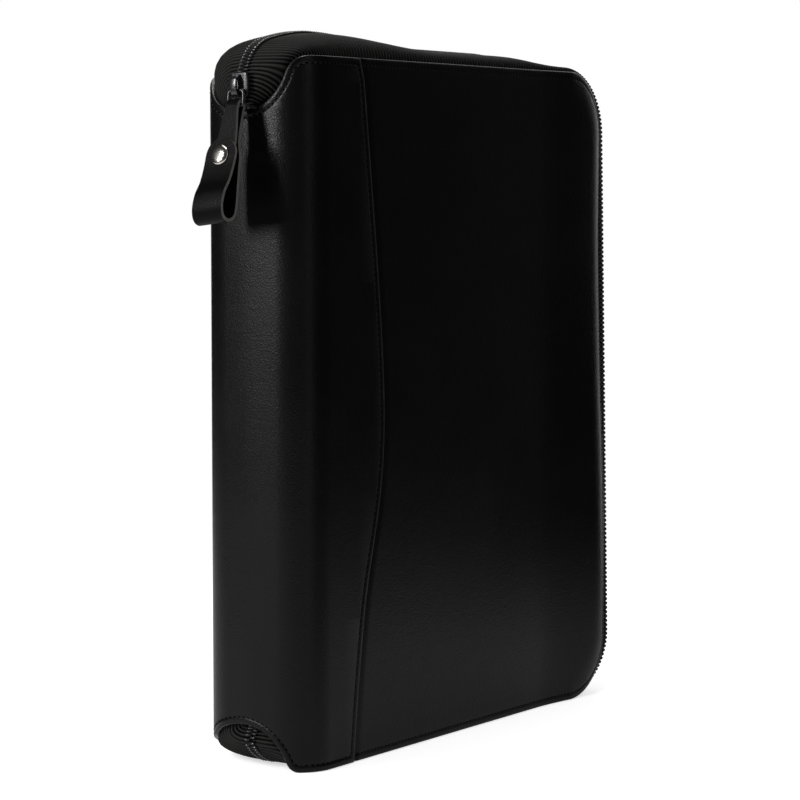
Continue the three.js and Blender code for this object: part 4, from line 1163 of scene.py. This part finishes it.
def build_pull_rivet():
    seat, back = 1.5 * LAYER + STRAP / 2 + 0.05, -LAYER / 2 - STRAP / 2 - 0.05
    cap = [(-seat - 0.15, RIVET - 0.25), (-seat - 0.1, RIVET), (-seat - 0.3, RIVET + 0.02)]
    cap += [(-seat - 0.3 - (RIVET_DOME - 0.3) * sin(t), RIVET * cos(t) ** 0.8) for t in
            [pi / 2 * i / 10 for i in range(1, 10)]]
    profile = [(-back + 0.6, 0), (-back + 0.55, 1.6), (-back + 0.25, 2.5), (-back, 2.6), (-back, 1.2),
               (-seat + 0.02, 1.2), *cap, (-seat - RIVET_DOME, 0)]
    x, z = on_neck(TO_RIVET, 0)
    place = STRAP_AT @ Matrix.Translation((x, 0, z)) @ Matrix.Rotation(STRAP_LEAN, 4, "Y")
    rivet = piece(turned(profile, place), "pull_rivet_cap", nickel, crease=40)
    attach(rivet, "pull_strap")
    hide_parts("pull_rivet")


FOOT_STOP_SHIFT = Vector((4.8, 0, 1.4))


def build_stops():
    """End clamps of the zipper. The foot's sits where the dressed coil goes in behind the leather."""
    for node in ("zipper_top_stop", "zipper_foot_stop"):
        low, high = (Vector(corner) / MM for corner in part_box(node))
        low.x, high.x = (corner - SPINE_FACE / MM for corner in (low.x, high.x))
        if node == "zipper_foot_stop":
            low, high = low + FOOT_STOP_SHIFT, high + FOOT_STOP_SHIFT
        bm = bmesh.new()
        bmesh.ops.create_cube(bm, size=1, matrix=Matrix.Translation((low + high) / 2)
                              @ Matrix.Diagonal((*(high - low), 1)))
        bmesh.ops.bevel(bm, geom=bm.edges[:], offset=0.3, offset_type="OFFSET", segments=2, profile=0.5,
                        affect="EDGES", material=-1)
        stop = piece(bm, node.replace("zipper_", "end_").replace("_stop", "_clamp"), enamel)
        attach(stop, "spine")
        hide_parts(node)


build_slider()
build_bail()
build_strap()
build_pull_rivet()
build_stops()

# Inside: linings, pockets and pen loop

HEMMED = [(0, -0.3), (0.15, -0.1), (0.5, 0), (1.2, 0.02)]
HEMMED_POCKET = [(0, -0.5), (0.12, -0.15), (0.4, 0), (1.9, 0.03), (2.2, -0.14), (2.5, 0)]
LINING, LINING_STITCH_INSET, POCKET, POCKET_STITCH_INSET = 0.8, 2.0, 0.9, 2.2
POCKET_INSET, POCKET_START, POCKET_BELOW_TOP, MOUTH_FALL = 7, 46, 87, 26
CARD_START, CARD_END, CARD_FOOT = 62, 162, 22
PEN_LOOP_AT, PEN_LOOP_RADIUS, PEN_LOOP_WALL = (176, 11.7, 164), 7.2, 0.95
PEN_LOOP_RISES = (0.3, 1.2, 47, 1.2, 0.3)


def lining_outline():
    low, high = LINING_INSET, COVER_HEIGHT - LINING_INSET
    foot = [(u, max(low, z)) for u, z in scoop_line(FOOT_SCOOP, 0, -1, LINING_SCOOP_MARGIN)[::-1]]
    top = [(u, min(high, z)) for u, z in scoop_line(TOP_SCOOP, COVER_HEIGHT, 1, LINING_SCOOP_MARGIN)]
    edge = fore_edge_line(LINING_INSET)
    return apart(foot + edge + top + [(-u, z) for u, z in reversed(edge)], 0.02)


def build_linings():
    outline = lining_outline()
    scores = HINGE_SCORES + FORE_SCORES + [-u for u in FORE_SCORES]
    row = stitch_row(outline, LINING_STITCH_INSET, lambda u, z: True)
    rule = inside(LINING_TOP + LINING)
    for name, back, hinge in (("front", False, FRONT_INNER_HINGE), ("back", True, BACK_INNER_HINGE)):
        bm = kept_side(cut_sheet(outline, HEMMED, scores, HEIGHT_SCORES[::2]), 0.001, back)
        finished_sheet(thickened(bm, lambda u, z: -LINING), rule)
        places = [(p, run) for p, run in row if (p.x > 0) == back]
        sheet = piece(joined(bm, stitches(places, rule), 1), f"{name}_inner_cloth", lining, thread)
        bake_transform(sheet)
        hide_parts(f"{name}_lining", *(() if back else ("spine_lining",)))


def build_pocket(node, name, body, outline, depth):
    side = 1 if body == "back_cover" else -1
    outline = [(side * distance_at(x), z) for x, z in outline]
    bm = cut_sheet(outline, HEMMED_POCKET, [side * u for u in FORE_SCORES])
    rule = inside(depth + POCKET)
    finished_sheet(thickened(bm, lambda u, z: -POCKET), rule)
    joined(bm, stitches(stitch_row(outline, POCKET_STITCH_INSET, lambda u, z: True), rule), 1)
    pocket = piece(bm, name, lining, thread)
    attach(pocket, body)
    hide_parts(node)


def build_pockets():
    right, low, radius = COVER_WIDTH - POCKET_INSET, POCKET_INSET, CORNER_RADIUS - POCKET_INSET
    top = COVER_HEIGHT - POCKET_BELOW_TOP
    turn = [(right - radius + radius * sin(a), low + radius - radius * cos(a))
            for a in (pi / 2 * i / 8 for i in range(9))]
    mouth = MOUTH_FALL * POCKET_INSET / (COVER_WIDTH - POCKET_START)
    slip = [(POCKET_START, low), *turn, (right, top - mouth), (POCKET_START, top - MOUTH_FALL)]
    build_pocket("front_slip_pocket", "front_pocket", "front_cover", slip, INSIDE + 0.1)
    build_pocket("back_slip_pocket", "back_pocket", "back_cover", slip, INSIDE + 0.1)
    for node, name, height, depth in (("card_pocket_rear", "card_slot_rear", 84, INSIDE + 1.1),
                                      ("card_pocket_front", "card_slot_front", 52, INSIDE + 2.1)):
        card = [(CARD_START, CARD_FOOT), (CARD_END, CARD_FOOT),
                (CARD_END, CARD_FOOT + height), (CARD_START, CARD_FOOT + height)]
        build_pocket(node, name, "front_cover", card, depth)


def build_pen_loop():
    bm = bmesh.new()
    made = bmesh.ops.create_circle(bm, segments=56, radius=PEN_LOOP_RADIUS)["verts"]
    bmesh.ops.translate(bm, verts=made, vec=PEN_LOOP_AT)
    edges = bm.edges[:]
    for rise in PEN_LOOP_RISES:
        fresh, edges = extruded(bm, edges)
        bmesh.ops.translate(bm, verts=fresh, vec=(0, 0, rise))
    bmesh.ops.recalc_face_normals(bm, faces=bm.faces)
    bmesh.ops.solidify(bm, geom=bm.faces[:], thickness=PEN_LOOP_WALL)
    bmesh.ops.recalc_face_normals(bm, faces=bm.faces)
    loop = piece(bm, "pen_loop_leather", leather, crease=45)
    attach(loop, "back_cover")
    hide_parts("pen_loop")


# Ring mechanism

RING_CENTRE, RING_RADIUS, RING_WIRE, RING_GAP, RING_FOOT = 20.25, 13.75, 2.5, 0.15, radians(154)


def build_rings():
    for side, name in ((-1, "front"), (1, "back")):
        bm = bmesh.new()
        for i in range(1, 8):
            low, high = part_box(f"{name}_half_ring_{i}")
            height = (low.z + high.z) / 2 / MM
            half = bmesh.new()
            circle = bmesh.ops.create_circle(half, segments=14, radius=RING_WIRE / 2)["verts"]
            tip = side * RING_GAP / RING_RADIUS
            bmesh.ops.transform(half, verts=circle, matrix=Matrix.Rotation(tip, 4, "Z")
                                @ Matrix.Translation((RING_RADIUS, 0, 0)) @ Matrix.Rotation(pi / 2, 4, "X"))
            bmesh.ops.spin(half, geom=half.verts[:] + half.edges[:], cent=(0, 0, 0), axis=(0, 0, 1),
                           angle=side * (RING_FOOT - abs(tip)), steps=36, use_merge=False)
            capped(half, [e for e in half.edges if len(e.link_faces) < 2])
            bmesh.ops.translate(half, verts=half.verts, vec=(RING_CENTRE, 0, height))
            joined(bm, half)
        rings = piece(bm, f"{name}_rings", steel)
        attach(rings, f"{name}_ring_half")
        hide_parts(*(f"{name}_half_ring_{i}" for i in range(1, 8)))


build_linings()
build_pockets()
build_pen_loop()
build_rings()

# CAD nodes that stay get their finishes

BOARDS = ("spine_board", "front_board", "back_board")
STEEL_NODES = ("ring_cover_plate", "ring_rivet_upper", "ring_rivet_lower",
               "front_blade", "back_blade", "upper_lever", "lower_lever")
for finish, nodes in ((board, BOARDS), (steel, STEEL_NODES)):
    for node in nodes:
        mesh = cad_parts[node].data
        mesh.materials.clear()
        mesh.materials.append(finish)

# Studio. Its floor, lamps and cards are in metres

CAMERA_AT, CAMERA_YAW, CAMERA_PITCH = (-722.05, -568.79, 200.30), radians(54.983), radians(4.511)
FOCAL_PIXELS, PHOTO_WIDTH, SENSOR_WIDTH = 2685.93, 800, 36
FLOOR_RADIUS, FLOOR_DROP, FLOOR_LIFT = 9, 0.0002, 0.6
FLOOR_TURNS_WHITE = (0.2, 0.6)
SKY_LEVEL = 0.5


def build_floor():
    """A pale floor that keeps the shadow near the binder and turns white further off."""
    bm = bmesh.new()
    bmesh.ops.create_circle(bm, cap_ends=True, segments=96, radius=FLOOR_RADIUS)
    floor = in_scene("floor", mesh_of(bm, "floor"))
    floor.location.z = -FLOOR_DROP
    f = Finish("pale_floor")
    f.tree.nodes.remove(f.shader)
    away = f.node("ShaderNodeVectorMath", {"operation": "LENGTH"}, {0: f.place}).outputs["Value"]
    far = f.node("ShaderNodeMapRange", {"interpolation_type": "SMOOTHSTEP"}, {
        "Value": away, "From Min": FLOOR_TURNS_WHITE[0], "From Max": FLOOR_TURNS_WHITE[1]})
    pale = f.node("ShaderNodeBsdfDiffuse", inputs={"Color": (0.8, 0.8, 0.8)})
    lift = f.node("ShaderNodeEmission", inputs={"Strength": f.ray("Camera") * FLOOR_LIFT})
    lit = f.node("ShaderNodeAddShader", inputs={0: pale.outputs[0], 1: lift.outputs[0]})
    white = f.node("ShaderNodeEmission")
    both = f.node("ShaderNodeMixShader", inputs={
        0: f.seen() * Amount(f, far.outputs[0]), 1: lit.outputs[0], 2: white.outputs[0]})
    f.feed(f.end.inputs[0], both.outputs[0])
    floor.data.materials.append(f.material)


def build_world():
    world = bpy.data.worlds.new("studio")
    bpy.context.scene.world = world
    n = Nodes(world)
    sky = n.node("ShaderNodeBackground", inputs={0: n.colour(n.seen(), (SKY_LEVEL,) * 3, (1, 1, 1))})
    n.node("ShaderNodeOutputWorld", inputs={0: sky.outputs[0]})


def softbox(name, place, aim, width, height, power, colour=(1, 1, 1)):
    """A soft lamp that the camera doesn't see."""
    lamp = bpy.data.lights.new(name, "AREA")
    lamp.shape, lamp.size, lamp.size_y = "RECTANGLE", width, height
    lamp.energy, lamp.color = power, colour
    thing = in_scene(name, lamp)
    thing.visible_camera = False
    thing.location = place
    thing.rotation_euler = (Vector(aim) - Vector(place)).to_track_quat("-Z", "Y").to_euler()


def black_flag(name, start, end, radius, height):
    """A curved black card beside the set. Only reflections see it."""
    bm = bmesh.new()
    foot = [bm.verts.new((radius * cos(start), radius * sin(start), 0)),
            bm.verts.new((radius * cos(start), radius * sin(start), height))]
    edge = bm.edges.new(foot)
    bmesh.ops.spin(bm, geom=foot + [edge], cent=(0, 0, 0), axis=(0, 0, 1), angle=end - start, steps=24)
    flag = in_scene(name, mesh_of(bm, name))
    f = Finish("black_card", Roughness=0.9)
    f.set("Base Color", f.colour(f.speckle(20), (0.01, 0.01, 0.01), (0.015, 0.015, 0.015)))
    flag.data.materials.append(f.material)
    flag.visible_camera = flag.visible_diffuse = flag.visible_shadow = flag.visible_transmission = False


def build_camera():
    camera = bpy.data.cameras.new("camera")
    camera.sensor_width, camera.lens = SENSOR_WIDTH, FOCAL_PIXELS / PHOTO_WIDTH * SENSOR_WIDTH
    thing = in_scene("camera", camera)
    thing.location = at(*CAMERA_AT)
    level = cos(CAMERA_PITCH)
    look = Vector((sin(CAMERA_YAW) * level, cos(CAMERA_YAW) * level, -sin(CAMERA_PITCH)))
    thing.rotation_euler = look.to_track_quat("-Z", "Y").to_euler()
    bpy.context.scene.camera = thing


build_floor()
build_world()
softbox("left_box", (-0.58, 0.25, 0.35), (-0.09, 0, 0.19), 0.09, 0.34, 3.2)
softbox("top_box", (0.25, 0.35, 1.5), (0, 0, 0.1), 1.1, 1.1, 4.2)
softbox("spark_box", (-0.15, -0.1, 1.2), (-0.05, 0, 0.2), 0.2, 0.2, 2.4)
softbox("front_box", (-0.31, -0.52, 0.42), (-0.05, 0, 0.2), 0.08, 0.2, 0.1, (0.85, 0.92, 1))
black_flag("right_flag", radians(-118), radians(-12), 0.30, 1.5)
black_flag("left_flag", radians(62), radians(244), 0.66, 1.5)
build_camera()
bpy.context.scene.view_settings.view_transform = "Standard"
